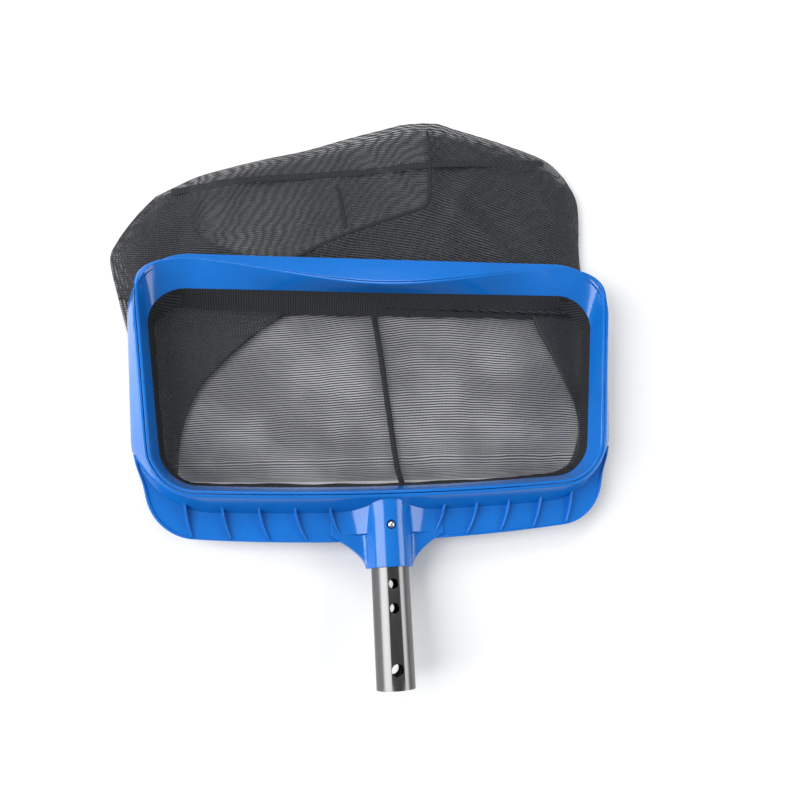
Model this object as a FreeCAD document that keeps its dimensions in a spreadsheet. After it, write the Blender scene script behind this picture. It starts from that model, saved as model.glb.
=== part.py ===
import FreeCAD, Part

import math
import os

import Sketcher

# Leaf skimmer net, lying face up. +X is across the mouth, +Y points to the leading edge and +Z is up.
# The origin is under the middle of the mouth, on the surface that the net lies on.
SIZES = [
    # Mouth of the frame, where the clamp ring's inner edge lies.
    ("back_height", 18, "height of the frame's open back above the floor"),
    ("frame_depth", 21, "from the open back to the crest"),
    ("mouth_low_half", 184, "half the mouth's width at the handle side"),
    ("mouth_high_half", 203, "half the mouth's width at the leading side"),
    ("mouth_low_reach", 91, "from the mouth's middle to its handle side"),
    ("mouth_high_reach", 105, "from the mouth's middle to the level of the wide corners"),
    ("mouth_low_radius", 34, "mouth corners at the handle side"),
    ("mouth_high_radius", 44, "mouth corners at the leading side"),
    ("dip_reach", 82.5, "from the mouth's middle to the bottom of the crescent lip's dip"),
    ("dip_radius", 260, "curve of the dip"),
    ("taper_low", 4, "how far the handle side leans in, from crest to back"),
    ("taper_side", 3, "how far the sides lean in"),
    ("throat_narrowing", 5, "how far the wide corners lean in"),
    ("throat_high_reach", 80, "from the mouth's middle to its leading side at the back"),
    ("throat_radius", 30, "mouth corners at the back"),
    # Walls.
    ("ring_wall", 2.2, "clamp ring"),
    ("ring_gap", 0.1, "between ring and shell along the parting line"),
    ("crest_width", 5, "ring and shell together along the crest"),
    ("shell_wall", 2.6, "shell's flared wall and top skin"),
    ("shell_inset", 3.1, "shell wall measured level"),
    ("lip_skin_extra", 0.3, "lip's skin measured upright, over the shell wall"),
    # Flared outside of the shell.
    ("flare", 14, "how far the outside spreads from crest to back"),
    ("lip_reach", 109.5, "from the mouth's middle to the leading edge"),
    ("lip_height", 8, "leading edge above the open back"),
    ("lip_slope", 26.6, "degrees that the crescent lip leans"),
    ("outer_high_half", 214, "half the width at the leading side"),
    ("lip_lean", 3, "how far the leading side leans in, from back to crest"),
    ("outer_high_tighten", 4, "outer leading corners' radius, from back to crest"),
    ("outer_low_radius", 50, "outer corners at the handle side"),
    ("outer_high_radius", 50, "outer corners at the leading side"),
    # Flange and its ribs.
    ("flange_reach", 134, "from the mouth's middle to the flange's edge"),
    ("flange_low_half", 187, "half the flange's width at its edge"),
    ("flange_high_half", 205, "half the flange's width beside the rim"),
    ("flange_thickness", 3, "flange plate"),
    ("flange_radius", 38, "flange corners"),
    ("flange_root", 40, "from the mouth's handle side to the flange's hidden root"),
    ("flange_root_radius", 6, "corners of the hidden root"),
    ("flange_bow", 1600, "radius of the flange's bowed edge"),
    ("rib_count", 5, "ribs on each side of the socket"),
    ("rib_first", 55, "from the middle to the first rib, at the crest"),
    ("rib_length", 46, "blade of a rib before the flange's edge trims it"),
    ("rib_root_inset", 4, "rib's root outside the mouth's handle side, under the wall"),
    ("rib_root_height", 8, "rib above the flange at its root inside the flared wall"),
    ("rib_end_inset", 2, "rib's low end inside the flange's edge"),
    ("rib_pitch", 28.5, "rib to rib"),
    ("rib_width", 1.8, "rib thickness"),
    ("rib_lean", 25, "degrees that a rib leans towards the handle"),
    # Handle socket, along the tube's own line.
    ("handle_bend", 8, "degrees that the handle rises from the frame's plane"),
    ("socket_root_reach", 96.4, "from the mouth's middle to the start of the socket's line"),
    ("socket_root_height", 17.8, "height of the socket's line at its start"),
    ("socket_start", 3.5, "start of the socket's barrel along its line"),
    ("socket_length", 59.5, "end of the socket along its line"),
    ("socket_wall", 3, "barrel wall"),
    ("cheek_half_thickness", 9, "half the thickness of the cheeks beside the barrel"),
    ("cheek_root_half", 31, "half the width of the cheeks at the rim"),
    ("cheek_mouth_half", 20.7, "half the width of the cheeks at the socket's mouth"),
    ("wing_start", 31, "start of the wings along the socket's line"),
    ("wing_root_half", 45, "half the width of the wings at the flange"),
    ("wing_thickness", 4, "wing plate"),
    ("wing_drop", 8.6, "underside of the wings below the socket's line"),
    # Handle tube.
    ("tube_diameter", 31, "outside"),
    ("tube_wall", 1.5, "wall"),
    ("tube_start", 13.8, "inner end along the socket's line"),
    ("tube_end", 152.1, "free end along the socket's line"),
    ("tube_clearance", 0.05, "between tube and socket, on the radius"),
    ("tube_end_gap", 0.1, "between the tube's inner end and the socket's floor"),
    ("button_place", 26.1, "snap button along the socket's line"),
    ("near_hole_place", 72.4, "first cross hole along the socket's line"),
    ("middle_hole_place", 91.3, "second cross hole along the socket's line"),
    ("end_hole_place", 137.5, "third cross hole along the socket's line"),
    ("cross_hole", 8, "first and second cross holes, diameter"),
    ("end_hole", 10, "third cross hole, diameter"),
    # Snap clip and buttons.
    ("button_diameter", 6.3, "snap button"),
    ("button_top", 20, "top of a button above the tube's line"),
    ("button_gap", 0.02, "between a button and its leg"),
    ("button_hole_tube", 7, "button hole in the tube, diameter"),
    ("button_hole_socket", 7.6, "button hole in the socket, diameter"),
    ("clip_width", 8, "spring strip"),
    ("clip_thickness", 0.8, "spring strip"),
    ("clip_leg_height", 12.6, "middle of a leg's flat end above the tube's line"),
    ("clip_flat_length", 10, "flat end of a leg under its button"),
    ("clip_bow_radius", 4.5, "bend of the clip"),
    ("clip_bow_place", 60, "middle of the bend along the socket's line"),
    # Net.
    ("bag_height", 14, "folded bag under the frame"),
    ("mesh_thickness", 1.5, "mesh with its folds"),
    ("bag_half_width", 222, "widest half width of the spread bag"),
    ("bag_far_reach", 248, "from the mouth's middle to the bag's far end"),
    ("bag_near_narrowing", 74, "bag's near corner inside its widest half width"),
    ("bag_near_taper", 44, "bag's side inside its widest half width, near the handle"),
    ("bag_near_taper_length", 30, "from the near corner to that place"),
    ("bag_side_narrowing", 20, "bag's side inside its widest half width, past the leading edge"),
    ("bag_side_reach", 88, "from the far end to that place"),
    ("bag_corner_narrowing", 60, "far corner inside the widest half width"),
    ("bag_corner_reach", 40, "from the far end to the far corner"),
    ("bag_end_narrowing", 165, "far end's straight part inside the widest half width"),
    ("way_in_clearance", 0.5, "bag's way in, outside the throat"),
    ("neck_width", 3.9, "mesh neck under the ring"),
    ("hem_thickness", 1.2, "binding"),
    ("hem_margin", 0.3, "binding outside the bead cord"),
    ("cord_diameter", 4.8, "bead cord in the hem"),
    ("cord_gap", 0.05, "between binding and cord"),
    ("cord_offset", 7.5, "cord outside the throat, at the sides and the handle side"),
    ("cord_high_offset", 15.5, "cord outside the throat, at the leading side"),
    ("seam_width", 5, "seam tape"),
    ("seam_thickness", 0.9, "seam tape"),
    ("centre_seam_low_x", 14, "centre seam's end at the handle side"),
    ("centre_seam_low_y", -84, "centre seam's end at the handle side"),
    ("centre_seam_high_x", -5, "centre seam's end at the leading side"),
    ("centre_seam_high_y", 76, "centre seam's end at the leading side"),
    ("end_seam_left_x", -150, "end seam's left end"),
    ("end_seam_left_y", 174, "end seam's left end"),
    ("end_seam_right_x", 150, "end seam's right end"),
    ("end_seam_right_y", 200, "end seam's right end"),
]

doc = FreeCAD.newDocument("leaf_skimmer_net")
sheet = doc.addObject("Spreadsheet::Sheet", "Sizes")
for row, (alias, number, meaning) in enumerate(SIZES, start=1):
    sheet.set(f"A{row}", meaning)
    sheet.set(f"B{row}", str(number))
    sheet.setAlias(f"B{row}", alias)
doc.recompute()


class Size:
    """A length or an angle: its number, and the expression on the sheet that gives it."""

    def __init__(self, value, text):
        self.value = value
        self.text = text

    def joined(self, other, sign):
        other = other if isinstance(other, Size) else Size(float(other), str(other))
        results = {
            "+": self.value + other.value,
            "-": self.value - other.value,
            "*": self.value * other.value,
        }
        return Size(results[sign], f"({self.text} {sign} {other.text})")

    def __add__(self, other):
        return self.joined(other, "+")

    def __sub__(self, other):
        return self.joined(other, "-")

    def __mul__(self, other):
        return self.joined(other, "*")

    def __neg__(self):
        return self * -1

    __radd__ = __add__
    __rmul__ = __mul__


def size(alias):
    return Size(float(sheet.get(alias)), f"Sizes.{alias}")


def bind(thing, prop, value):
    """Set a property to a size and keep it bound to the sheet."""
    if isinstance(value, Size):
        thing.setExpression(prop, value.text)
    else:
        setattr(thing, prop, value)


# Points along the socket's line, in the layout's own axes.
BEND = math.radians(size("handle_bend").value)
TUBE_LINE = FreeCAD.Vector(0, -math.cos(BEND), math.sin(BEND))
TUBE_UP = FreeCAD.Vector(0, math.sin(BEND), math.cos(BEND))
SOCKET_ROOT = FreeCAD.Vector(0, -size("socket_root_reach").value, size("socket_root_height").value)
TUBE_TURN = FreeCAD.Rotation(FreeCAD.Vector(1, 0, 0), 90 - size("handle_bend").value)
WIDE = 600  # wider than the whole net, for blocks that only cut
NOTHING = Size(0.0, "0")


def on_tube_line(place):
    """Placement whose Z runs along the socket's line and whose Y points up out of the tube."""
    return FreeCAD.Placement(SOCKET_ROOT + TUBE_LINE * place, TUBE_TURN)


# ---------------------------------------------------------------------------------------------
# Sketches and plain solids


def corner_circle(side_low, side_high, radius, sign_y, edge, dip):
    """Centre of a corner arc between a slanted side and a level edge, or a dip that bulges inwards."""
    low = FreeCAD.Vector(*side_low)
    run = (FreeCAD.Vector(*side_high) - low).normalize()
    inward = FreeCAD.Vector(-run.y, run.x, 0)
    base = low + inward * radius
    if dip is None:
        along = (edge - sign_y * radius - base.y) / run.y
        return base + run * along
    dip_centre, dip_size = dip
    gap = base - dip_centre
    half = gap.dot(run)
    rest = gap.dot(gap) - (dip_size + radius) ** 2
    return base + run * (-half - math.sqrt(half * half - rest))


def rounded_outline(name, height, low_half, high_half, low_y, high_y, low_radius, high_radius, dip=None):
    """Closed outline of a mouth: two slanted sides, four corners, and a level or dipped leading side.

    dip is (lowest point's Y, radius) of an arc that bulges into the mouth.
    """
    sketch = doc.addObject("Sketcher::SketchObject", name)
    bind(sketch, "Placement.Base.z", height)
    low = (low_half.value, low_y.value, 0)
    high = (high_half.value, high_y.value, 0)
    dip_circle = None
    if dip:
        dip_circle = (FreeCAD.Vector(0, dip[0].value + dip[1].value, 0), dip[1].value)
    r_low = low_radius.value
    r_high = high_radius.value
    low_centre = corner_circle(low, high, r_low, -1, low_y.value, None)
    high_centre = corner_circle(low, high, r_high, 1, high_y.value, dip_circle)
    run = (FreeCAD.Vector(*high) - FreeCAD.Vector(*low)).normalize()
    outward = FreeCAD.Vector(run.y, -run.x, 0)
    side_angle = math.atan2(outward.y, outward.x)

    def mirrored(point):
        return FreeCAD.Vector(-point.x, point.y, 0)

    def arc(centre, radius, start, end):
        circle = Part.Circle(centre, FreeCAD.Vector(0, 0, 1), radius)
        return Part.ArcOfCircle(circle, start, end)

    down = FreeCAD.Vector(0, -1, 0)
    up = FreeCAD.Vector(0, 1, 0)
    low_edge = low_centre + down * r_low
    side_start = low_centre + outward * r_low
    side_end = high_centre + outward * r_high
    if dip:
        toward = (dip_circle[0] - high_centre).normalize()
        high_edge = high_centre + toward * r_high
        high_angle = math.atan2(toward.y, toward.x)
        dip_angle = math.atan2(-toward.y, -toward.x)
        top = arc(dip_circle[0], dip_circle[1], -math.pi - dip_angle, dip_angle)
    else:
        high_edge = high_centre + up * r_high
        high_angle = math.pi / 2
        top = Part.LineSegment(high_edge, mirrored(high_edge))
    shapes = [
        Part.LineSegment(mirrored(low_edge), low_edge),
        arc(low_centre, r_low, -math.pi / 2, side_angle),
        Part.LineSegment(side_start, side_end),
        arc(high_centre, r_high, side_angle, high_angle),
        top,
        arc(mirrored(high_centre), r_high, math.pi - high_angle, math.pi - side_angle),
        Part.LineSegment(mirrored(side_end), mirrored(side_start)),
        arc(mirrored(low_centre), r_low, math.pi - side_angle, 1.5 * math.pi),
    ]
    for shape in shapes:
        sketch.addGeometry(shape, False)
    for corner in (low, high):
        sketch.addGeometry(Part.Point(FreeCAD.Vector(*corner)), True)
    top_start, top_end = (2, 1) if dip else (1, 2)
    joints = [(0, 2, 1, 1), (1, 2, 2, 1), (2, 2, 3, 1), (3, 2, 4, top_start)]
    joints += [(4, top_end, 5, 1), (5, 2, 6, 1), (6, 2, 7, 1), (7, 2, 0, 1)]
    for joint in joints:
        sketch.addConstraint(Sketcher.Constraint("Tangent", *joint))
    sketch.addConstraint(Sketcher.Constraint("Horizontal", 0))
    sketch.addConstraint(Sketcher.Constraint("Symmetric", 2, 1, 6, 2, -2))
    sketch.addConstraint(Sketcher.Constraint("Symmetric", 2, 2, 6, 1, -2))
    sketch.addConstraint(Sketcher.Constraint("PointOnObject", 8, 1, 2))
    sketch.addConstraint(Sketcher.Constraint("PointOnObject", 9, 1, 2))

    def measure(kind, *where, to):
        index = sketch.addConstraint(Sketcher.Constraint(kind, *where, to.value))
        sketch.setExpression(f"Constraints[{index}]", to.text)

    measure("DistanceY", -1, 1, 0, 1, to=low_y)
    measure("DistanceX", -1, 1, 8, 1, to=low_half)
    measure("DistanceY", -1, 1, 8, 1, to=low_y)
    measure("DistanceX", -1, 1, 9, 1, to=high_half)
    measure("DistanceY", -1, 1, 9, 1, to=high_y)
    measure("Radius", 1, to=low_radius)
    measure("Radius", 3, to=high_radius)
    if dip:
        sketch.addConstraint(Sketcher.Constraint("PointOnObject", 4, 3, -2))
        measure("DistanceY", -1, 1, 4, 3, to=dip[0] + dip[1])
        measure("Radius", 4, to=dip[1])
    else:
        sketch.addConstraint(Sketcher.Constraint("Horizontal", 4))
        measure("DistanceY", -1, 1, 4, 1, to=high_y)
    return sketch


def corner_outline(name, points, placement=None):
    """Closed outline of straight runs through points whose places are sizes."""
    sketch = doc.addObject("Sketcher::SketchObject", name)
    if placement:
        sketch.Placement = placement
    spots = [FreeCAD.Vector(x.value, y.value, 0) for x, y in points]
    count = len(spots)
    for i in range(count):
        sketch.addGeometry(Part.LineSegment(spots[i], spots[(i + 1) % count]), False)
    for i in range(count):
        sketch.addConstraint(Sketcher.Constraint("Coincident", i, 2, (i + 1) % count, 1))
    for i, (x, y) in enumerate(points):
        for kind, to in (("DistanceX", x), ("DistanceY", y)):
            index = sketch.addConstraint(Sketcher.Constraint(kind, -1, 1, i, 1, to.value))
            sketch.setExpression(f"Constraints[{index}]", to.text)
    return sketch


def loft(name, low, high):
    solid = doc.addObject("Part::Loft", name)
    solid.Sections = [low, high]
    solid.Solid = True
    solid.Ruled = True
    return solid


def extrusion(name, sketch, length, direction=FreeCAD.Vector(0, 0, 1), back=0):
    solid = doc.addObject("Part::Extrusion", name)
    solid.Base = sketch
    solid.DirMode = "Custom"
    solid.Dir = direction
    bind(solid, "LengthFwd", length)
    bind(solid, "LengthRev", back)
    solid.Solid = True
    return solid


def cylinder(name, radius, height, placement):
    solid = doc.addObject("Part::Cylinder", name)
    bind(solid, "Radius", radius)
    bind(solid, "Height", height)
    solid.Placement = placement
    return solid


def block(name, length, width, height, placement=None):
    solid = doc.addObject("Part::Box", name)
    bind(solid, "Length", length)
    bind(solid, "Width", width)
    bind(solid, "Height", height)
    if placement:
        solid.Placement = placement
    return solid


def cut(name, base, tool):
    solid = doc.addObject("Part::Cut", name)
    solid.Base = base
    solid.Tool = tool
    return solid


def common(name, base, tool):
    solid = doc.addObject("Part::Common", name)
    solid.Base = base
    solid.Tool = tool
    return solid


def fused(name, solids):
    solid = doc.addObject("Part::MultiFuse", name)
    solid.Shapes = solids
    return solid


# ---------------------------------------------------------------------------------------------
# Outlines of the rim at its open back and at its crest

BACK = size("back_height")
CREST = BACK + size("frame_depth")


def throat(name, offset, height=BACK):
    """Outline of the mouth at the open back, moved outwards by an offset."""
    return rounded_outline(
        name,
        height,
        size("mouth_low_half") - size("taper_side") + offset,
        size("mouth_high_half") - size("throat_narrowing") + offset,
        -(size("mouth_low_reach") - size("taper_low") + offset),
        size("throat_high_reach") + offset,
        size("throat_radius") + offset,
        size("throat_radius") + offset,
    )


def crest(name, offset):
    """Outline of the mouth at the crest's level, with the dip of the crescent lip."""
    return rounded_outline(
        name,
        CREST,
        size("mouth_low_half") + offset,
        size("mouth_high_half") + offset,
        -(size("mouth_low_reach") + offset),
        size("mouth_high_reach") + offset,
        size("mouth_low_radius") + offset,
        size("mouth_high_radius") + offset,
        dip=(size("dip_reach") + offset, size("dip_radius") - offset),
    )


def mouth_form(name, offset):
    """The mouth's space, from back to crest, moved outwards by an offset."""
    return loft(name, throat(name + "_back", offset), crest(name + "_crest", offset))


def outer_form(name, inset):
    """The rim's flared outside, moved inwards by an inset."""
    outer_low = size("mouth_low_reach") + size("crest_width") - inset
    outer_half = size("mouth_low_half") + size("crest_width") - inset
    back = rounded_outline(
        name + "_back",
        BACK,
        outer_half + size("flare"),
        size("outer_high_half") - inset,
        -(outer_low + size("flare")),
        size("lip_reach") - inset,
        size("outer_low_radius") - inset,
        size("outer_high_radius") - inset,
    )
    top = rounded_outline(
        name + "_crest",
        CREST,
        outer_half,
        size("mouth_high_half") + size("crest_width") - inset,
        -outer_low,
        size("lip_reach") - size("lip_lean") - inset,
        size("mouth_low_radius") + size("crest_width") - inset,
        size("outer_high_radius") - size("outer_high_tighten") - inset,
    )
    return loft(name, back, top)


# ---------------------------------------------------------------------------------------------
# Blue plastic


def slab_above(name, height):
    slab = block(name, WIDE, WIDE, WIDE / 2)
    slab.Placement = FreeCAD.Placement(FreeCAD.Vector(-WIDE / 2, -WIDE / 2, 0), FreeCAD.Rotation())
    slab.setExpression("Placement.Base.z", height.text)
    return slab


def lip_slab(name, drop):
    """The half space above the lip's plane: a big block turned to the lip's slope."""
    slope = size("lip_slope")
    radians = math.radians(slope.value)
    slab = block(name, WIDE, WIDE, WIDE / 2)
    corner = FreeCAD.Vector(
        -WIDE / 2,
        size("lip_reach").value - math.cos(radians) * WIDE / 2,
        BACK.value + size("lip_height").value - drop.value + math.sin(radians) * WIDE / 2,
    )
    slab.Placement = FreeCAD.Placement(corner, FreeCAD.Rotation(FreeCAD.Vector(1, 0, 0), -slope.value))
    return slab


def flange_and_ribs():
    """Plate with rounded corners, and leaning gussets between it and the flared wall."""
    outline = rounded_outline(
        "flange_outline",
        BACK,
        size("flange_low_half"),
        size("flange_high_half"),
        -size("flange_reach"),
        size("flange_root") - size("mouth_low_reach"),
        size("flange_radius"),
        size("flange_root_radius"),
    )
    plate = extrusion("flange_plate", outline, size("flange_thickness"))
    root_y = -(size("mouth_low_reach") + size("rib_root_inset")).value
    plates = []
    for side, word in ((-1, "left"), (1, "right")):
        for i in range(int(size("rib_count").value)):
            name = f"rib_{word}_{i + 1}"
            blade = block(name, size("rib_length"), size("rib_width"), size("frame_depth"))
            turn = FreeCAD.Rotation(FreeCAD.Vector(0, 0, 1), -90 - side * size("rib_lean").value)
            root_x = side * (size("rib_first").value + i * size("rib_pitch").value)
            middle = turn.multVec(FreeCAD.Vector(0, size("rib_width").value / 2, 0))
            root = FreeCAD.Vector(root_x, root_y, BACK.value)
            blade.Placement = FreeCAD.Placement(root - middle, turn)
            plates.append(blade)
    plate_top = BACK.value + size("flange_thickness").value
    high = FreeCAD.Vector(0, root_y, plate_top + size("rib_root_height").value)
    low = FreeCAD.Vector(0, size("rib_end_inset").value - size("flange_reach").value, plate_top)
    floor_out = FreeCAD.Vector(0, low.y, BACK.value)
    floor_in = FreeCAD.Vector(0, root_y, BACK.value)
    edges = [
        Part.LineSegment(high, low).toShape(),
        Part.LineSegment(low, floor_out).toShape(),
        Part.LineSegment(floor_out, floor_in).toShape(),
        Part.LineSegment(floor_in, high).toShape(),
    ]
    profile = doc.addObject("Part::Feature", "rib_ceiling_profile")
    profile.Shape = Part.Face(Part.Wire(edges))
    ceiling = extrusion("rib_ceiling", profile, WIDE / 2, FreeCAD.Vector(1, 0, 0), back=WIDE / 2)
    ribs = common("ribs", fused("rib_plates", plates), ceiling)
    bow_centre = FreeCAD.Vector(0, size("flange_bow").value - size("flange_reach").value, 0)
    bow_place = FreeCAD.Placement(bow_centre, FreeCAD.Rotation())
    disc = cylinder("flange_bow_disc", size("flange_bow"), WIDE, bow_place)
    return common("flange", fused("flange_with_ribs", [plate, ribs]), disc)


def socket():
    """Barrel, cheeks and wings that carry the handle tube."""
    barrel = cylinder(
        "socket_barrel",
        size("tube_diameter") * 0.5 + size("socket_wall"),
        size("socket_length") - size("socket_start"),
        on_tube_line(size("socket_start").value),
    )
    level = FreeCAD.Placement(SOCKET_ROOT, TUBE_TURN * FreeCAD.Rotation(FreeCAD.Vector(1, 0, 0), 90))
    root, mouth = size("cheek_root_half"), size("cheek_mouth_half")
    start, end = size("socket_start"), size("socket_length")
    cheek_outline = corner_outline(
        "cheek_outline", [(-root, start), (root, start), (mouth, end), (-mouth, end)], level
    )
    thickness = size("cheek_half_thickness")
    cheeks = extrusion("socket_cheeks", cheek_outline, thickness, TUBE_UP, back=thickness)
    wide, wing = size("wing_root_half"), size("wing_start")
    wing_outline = corner_outline(
        "wing_outline", [(-wide, wing), (wide, wing), (mouth, end), (-mouth, end)], level
    )
    drop = size("wing_drop")
    wings = extrusion("socket_wings", wing_outline, size("wing_thickness") - drop, TUBE_UP, back=drop)
    return fused("socket", [barrel, cheeks, wings])


def frame_shell():
    """Flared wall, crescent lip, flange, ribs and socket, moulded in one piece and open at the back."""
    outside = outer_form("shell_outside", NOTHING)
    solid = fused("shell_solid", [outside, flange_and_ribs(), socket()])
    lipped = cut("shell_lipped", solid, lip_slab("above_lip", NOTHING))
    topped = cut("shell_topped", lipped, slab_above("above_crest", CREST))
    inset = size("shell_inset")
    skin = size("shell_wall")
    # The lip's skin is measured upright through its slope, so its plane is dropped a little more.
    lip_drop = skin + size("lip_skin_extra")
    hollow = cut("hollow_under_lip", outer_form("shell_inside", inset), lip_slab("under_lip", lip_drop))
    hollow = cut("hollow_under_crest", hollow, slab_above("under_crest", CREST - skin))
    walled = cut("shell_walled", topped, hollow)
    seat = mouth_form("ring_seat", size("ring_wall") + size("ring_gap"))
    opened = cut("shell_opened", walled, seat)
    bore = cylinder(
        "socket_bore",
        size("tube_diameter") * 0.5 + size("tube_clearance"),
        size("socket_length"),
        on_tube_line((size("tube_start") - size("tube_end_gap")).value),
    )
    bored = cut("shell_bored", opened, bore)
    across = FreeCAD.Rotation(FreeCAD.Vector(1, 0, 0), -90)
    hole_start = SOCKET_ROOT + TUBE_LINE * size("button_place").value - TUBE_UP * WIDE * 0.5
    button_hole = cylinder(
        "socket_button_holes",
        size("button_hole_socket") * 0.5,
        WIDE,
        FreeCAD.Placement(hole_start, TUBE_TURN * across),
    )
    drilled = cut("shell_drilled", bored, button_hole)
    under = FreeCAD.Placement(FreeCAD.Vector(-WIDE / 2, -WIDE / 2, -WIDE), FreeCAD.Rotation())
    return cut("frame_shell", drilled, block("below_floor", WIDE, WIDE, WIDE, under))


def net_clamp_ring():
    """Inner wall of the rim, which snaps into the shell and holds the hem."""
    outside = mouth_form("ring_outside", size("ring_wall"))
    wall = cut("ring_walled", outside, mouth_form("mouth", NOTHING))
    return cut("net_clamp_ring", wall, lip_slab("above_ring_lip", NOTHING))


# ---------------------------------------------------------------------------------------------
# Handle


def plane_of(body, role):
    for feature in body.Origin.OriginFeatures:
        if feature.Role == role:
            return feature
    raise ValueError(role)


def body_sketch(body, name, role):
    sketch = body.newObject("Sketcher::SketchObject", name)
    sketch.AttachmentSupport = [(plane_of(body, role), "")]
    sketch.MapMode = "FlatFace"
    return sketch


def add_circle(sketch, radius, x=None, y=None):
    """Circle bound to the sheet; x and y are its centre's places, or none for the origin."""
    centre = FreeCAD.Vector(x.value if x else 0, y.value if y else 0, 0)
    index = sketch.addGeometry(Part.Circle(centre, FreeCAD.Vector(0, 0, 1), radius.value), False)
    places = [("DistanceX", x), ("DistanceY", y)]
    if x is None and y is None:
        sketch.addConstraint(Sketcher.Constraint("Coincident", index, 3, -1, 1))
        places = []
    for kind, place in places:
        if place is None:
            sketch.addConstraint(Sketcher.Constraint("PointOnObject", index, 3, -2))
        else:
            number = sketch.addConstraint(Sketcher.Constraint(kind, -1, 1, index, 3, place.value))
            sketch.setExpression(f"Constraints[{number}]", place.text)
    number = sketch.addConstraint(Sketcher.Constraint("Radius", index, radius.value))
    sketch.setExpression(f"Constraints[{number}]", radius.text)


def handle_tube():
    """Aluminium tube with a button hole and three cross holes, each through both walls."""
    body = doc.addObject("PartDesign::Body", "handle_tube")
    body.Placement = on_tube_line(size("tube_start").value)
    ends = body_sketch(body, "tube_section", "XY_Plane")
    radius = size("tube_diameter") * 0.5
    add_circle(ends, radius)
    add_circle(ends, radius - size("tube_wall"))
    pad = body.newObject("PartDesign::Pad", "tube_pad")
    pad.Profile = ends
    bind(pad, "Length", size("tube_end") - size("tube_start"))
    doc.recompute()
    holes = body_sketch(body, "tube_holes", "XZ_Plane")
    rows = [
        (size("button_hole_tube"), size("button_place")),
        (size("cross_hole"), size("near_hole_place")),
        (size("cross_hole"), size("middle_hole_place")),
        (size("end_hole"), size("end_hole_place")),
    ]
    for diameter, place in rows:
        add_circle(holes, diameter * 0.5, y=place - size("tube_start"))
    pocket = body.newObject("PartDesign::Pocket", "tube_cross_holes")
    pocket.Profile = holes
    pocket.Type = "ThroughAll"
    pocket.Midplane = True
    body.Tip = pocket
    return body


def snap_clip():
    """Spring strip bent to a narrow V, with a flat end under each button."""
    leg = size("clip_leg_height").value
    bow = size("clip_bow_radius").value
    start = size("button_place").value - size("clip_flat_length").value / 2
    flat_end = start + size("clip_flat_length").value
    bend = size("clip_bow_place").value
    half = size("clip_thickness").value / 2
    edge = -size("clip_width").value / 2

    def spot(height, along):
        return FreeCAD.Vector(edge, height, along)

    # The slanted legs leave the bow along its tangent.
    rise, run = leg - bow, bend - flat_end
    slant = math.atan2(rise, run)
    touch = spot(bow * math.cos(slant), bend + bow * math.sin(slant))
    edges = [
        Part.LineSegment(spot(leg, start), spot(leg, flat_end)).toShape(),
        Part.LineSegment(spot(leg, flat_end), touch).toShape(),
        Part.Arc(touch, spot(0, bend + bow), spot(-touch.y, touch.z)).toShape(),
        Part.LineSegment(spot(-touch.y, touch.z), spot(-leg, flat_end)).toShape(),
        Part.LineSegment(spot(-leg, flat_end), spot(-leg, start)).toShape(),
    ]
    middle = Part.Wire(edges)
    strip = middle.makeOffset2D(half, join=2, fill=False, openResult=False)
    face = Part.Face(strip)
    solid = face.extrude(FreeCAD.Vector(size("clip_width").value, 0, 0))
    clip = doc.addObject("Part::Feature", "snap_clip")
    clip.Shape = solid
    clip.Placement = FreeCAD.Placement(SOCKET_ROOT, TUBE_TURN)
    return clip


def button(name, flip):
    """Domed snap button, turned about its own line; flip points it out of the underside."""
    body = doc.addObject("PartDesign::Body", name)
    turn = FreeCAD.Rotation(FreeCAD.Vector(0, 0, 1), 180 if flip else 0)
    place = on_tube_line(size("button_place").value)
    body.Placement = FreeCAD.Placement(place.Base, place.Rotation * turn)
    sketch = body_sketch(body, name + "_profile", "XY_Plane")
    radius = size("button_diameter") * 0.5
    base = size("clip_leg_height") + size("clip_thickness") * 0.5 + size("button_gap")
    shoulder = size("button_top") - radius
    corners = [(0, base.value), (radius.value, base.value), (radius.value, shoulder.value)]
    corners = [FreeCAD.Vector(x, y, 0) for x, y in corners]
    crown = FreeCAD.Vector(0, size("button_top").value, 0)
    centre = FreeCAD.Vector(0, shoulder.value, 0)
    sketch.addGeometry(Part.LineSegment(corners[0], corners[1]), False)
    sketch.addGeometry(Part.LineSegment(corners[1], corners[2]), False)
    dome = Part.Circle(centre, FreeCAD.Vector(0, 0, 1), radius.value)
    sketch.addGeometry(Part.ArcOfCircle(dome, 0, math.pi / 2), False)
    sketch.addGeometry(Part.LineSegment(crown, corners[0]), False)
    for first, second in ((0, 1), (2, 3), (3, 0)):
        sketch.addConstraint(Sketcher.Constraint("Coincident", first, 2, second, 1))
    sketch.addConstraint(Sketcher.Constraint("Tangent", 1, 2, 2, 1))
    sketch.addConstraint(Sketcher.Constraint("Horizontal", 0))
    sketch.addConstraint(Sketcher.Constraint("Vertical", 1))
    sketch.addConstraint(Sketcher.Constraint("PointOnObject", 0, 1, -2))
    sketch.addConstraint(Sketcher.Constraint("PointOnObject", 2, 2, -2))
    sketch.addConstraint(Sketcher.Constraint("PointOnObject", 2, 3, -2))
    places = [
        ("DistanceY", (-1, 1, 0, 1), base),
        ("Radius", (2,), radius),
        ("DistanceY", (-1, 1, 2, 3), shoulder),
    ]
    for kind, where, to in places:
        index = sketch.addConstraint(Sketcher.Constraint(kind, *where, to.value))
        sketch.setExpression(f"Constraints[{index}]", to.text)
    spun = body.newObject("PartDesign::Revolution", name + "_turned")
    spun.Profile = sketch
    spun.ReferenceAxis = (sketch, ["V_Axis"])
    spun.Angle = 360
    body.Tip = spun
    return body


# ---------------------------------------------------------------------------------------------
# Net


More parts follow.
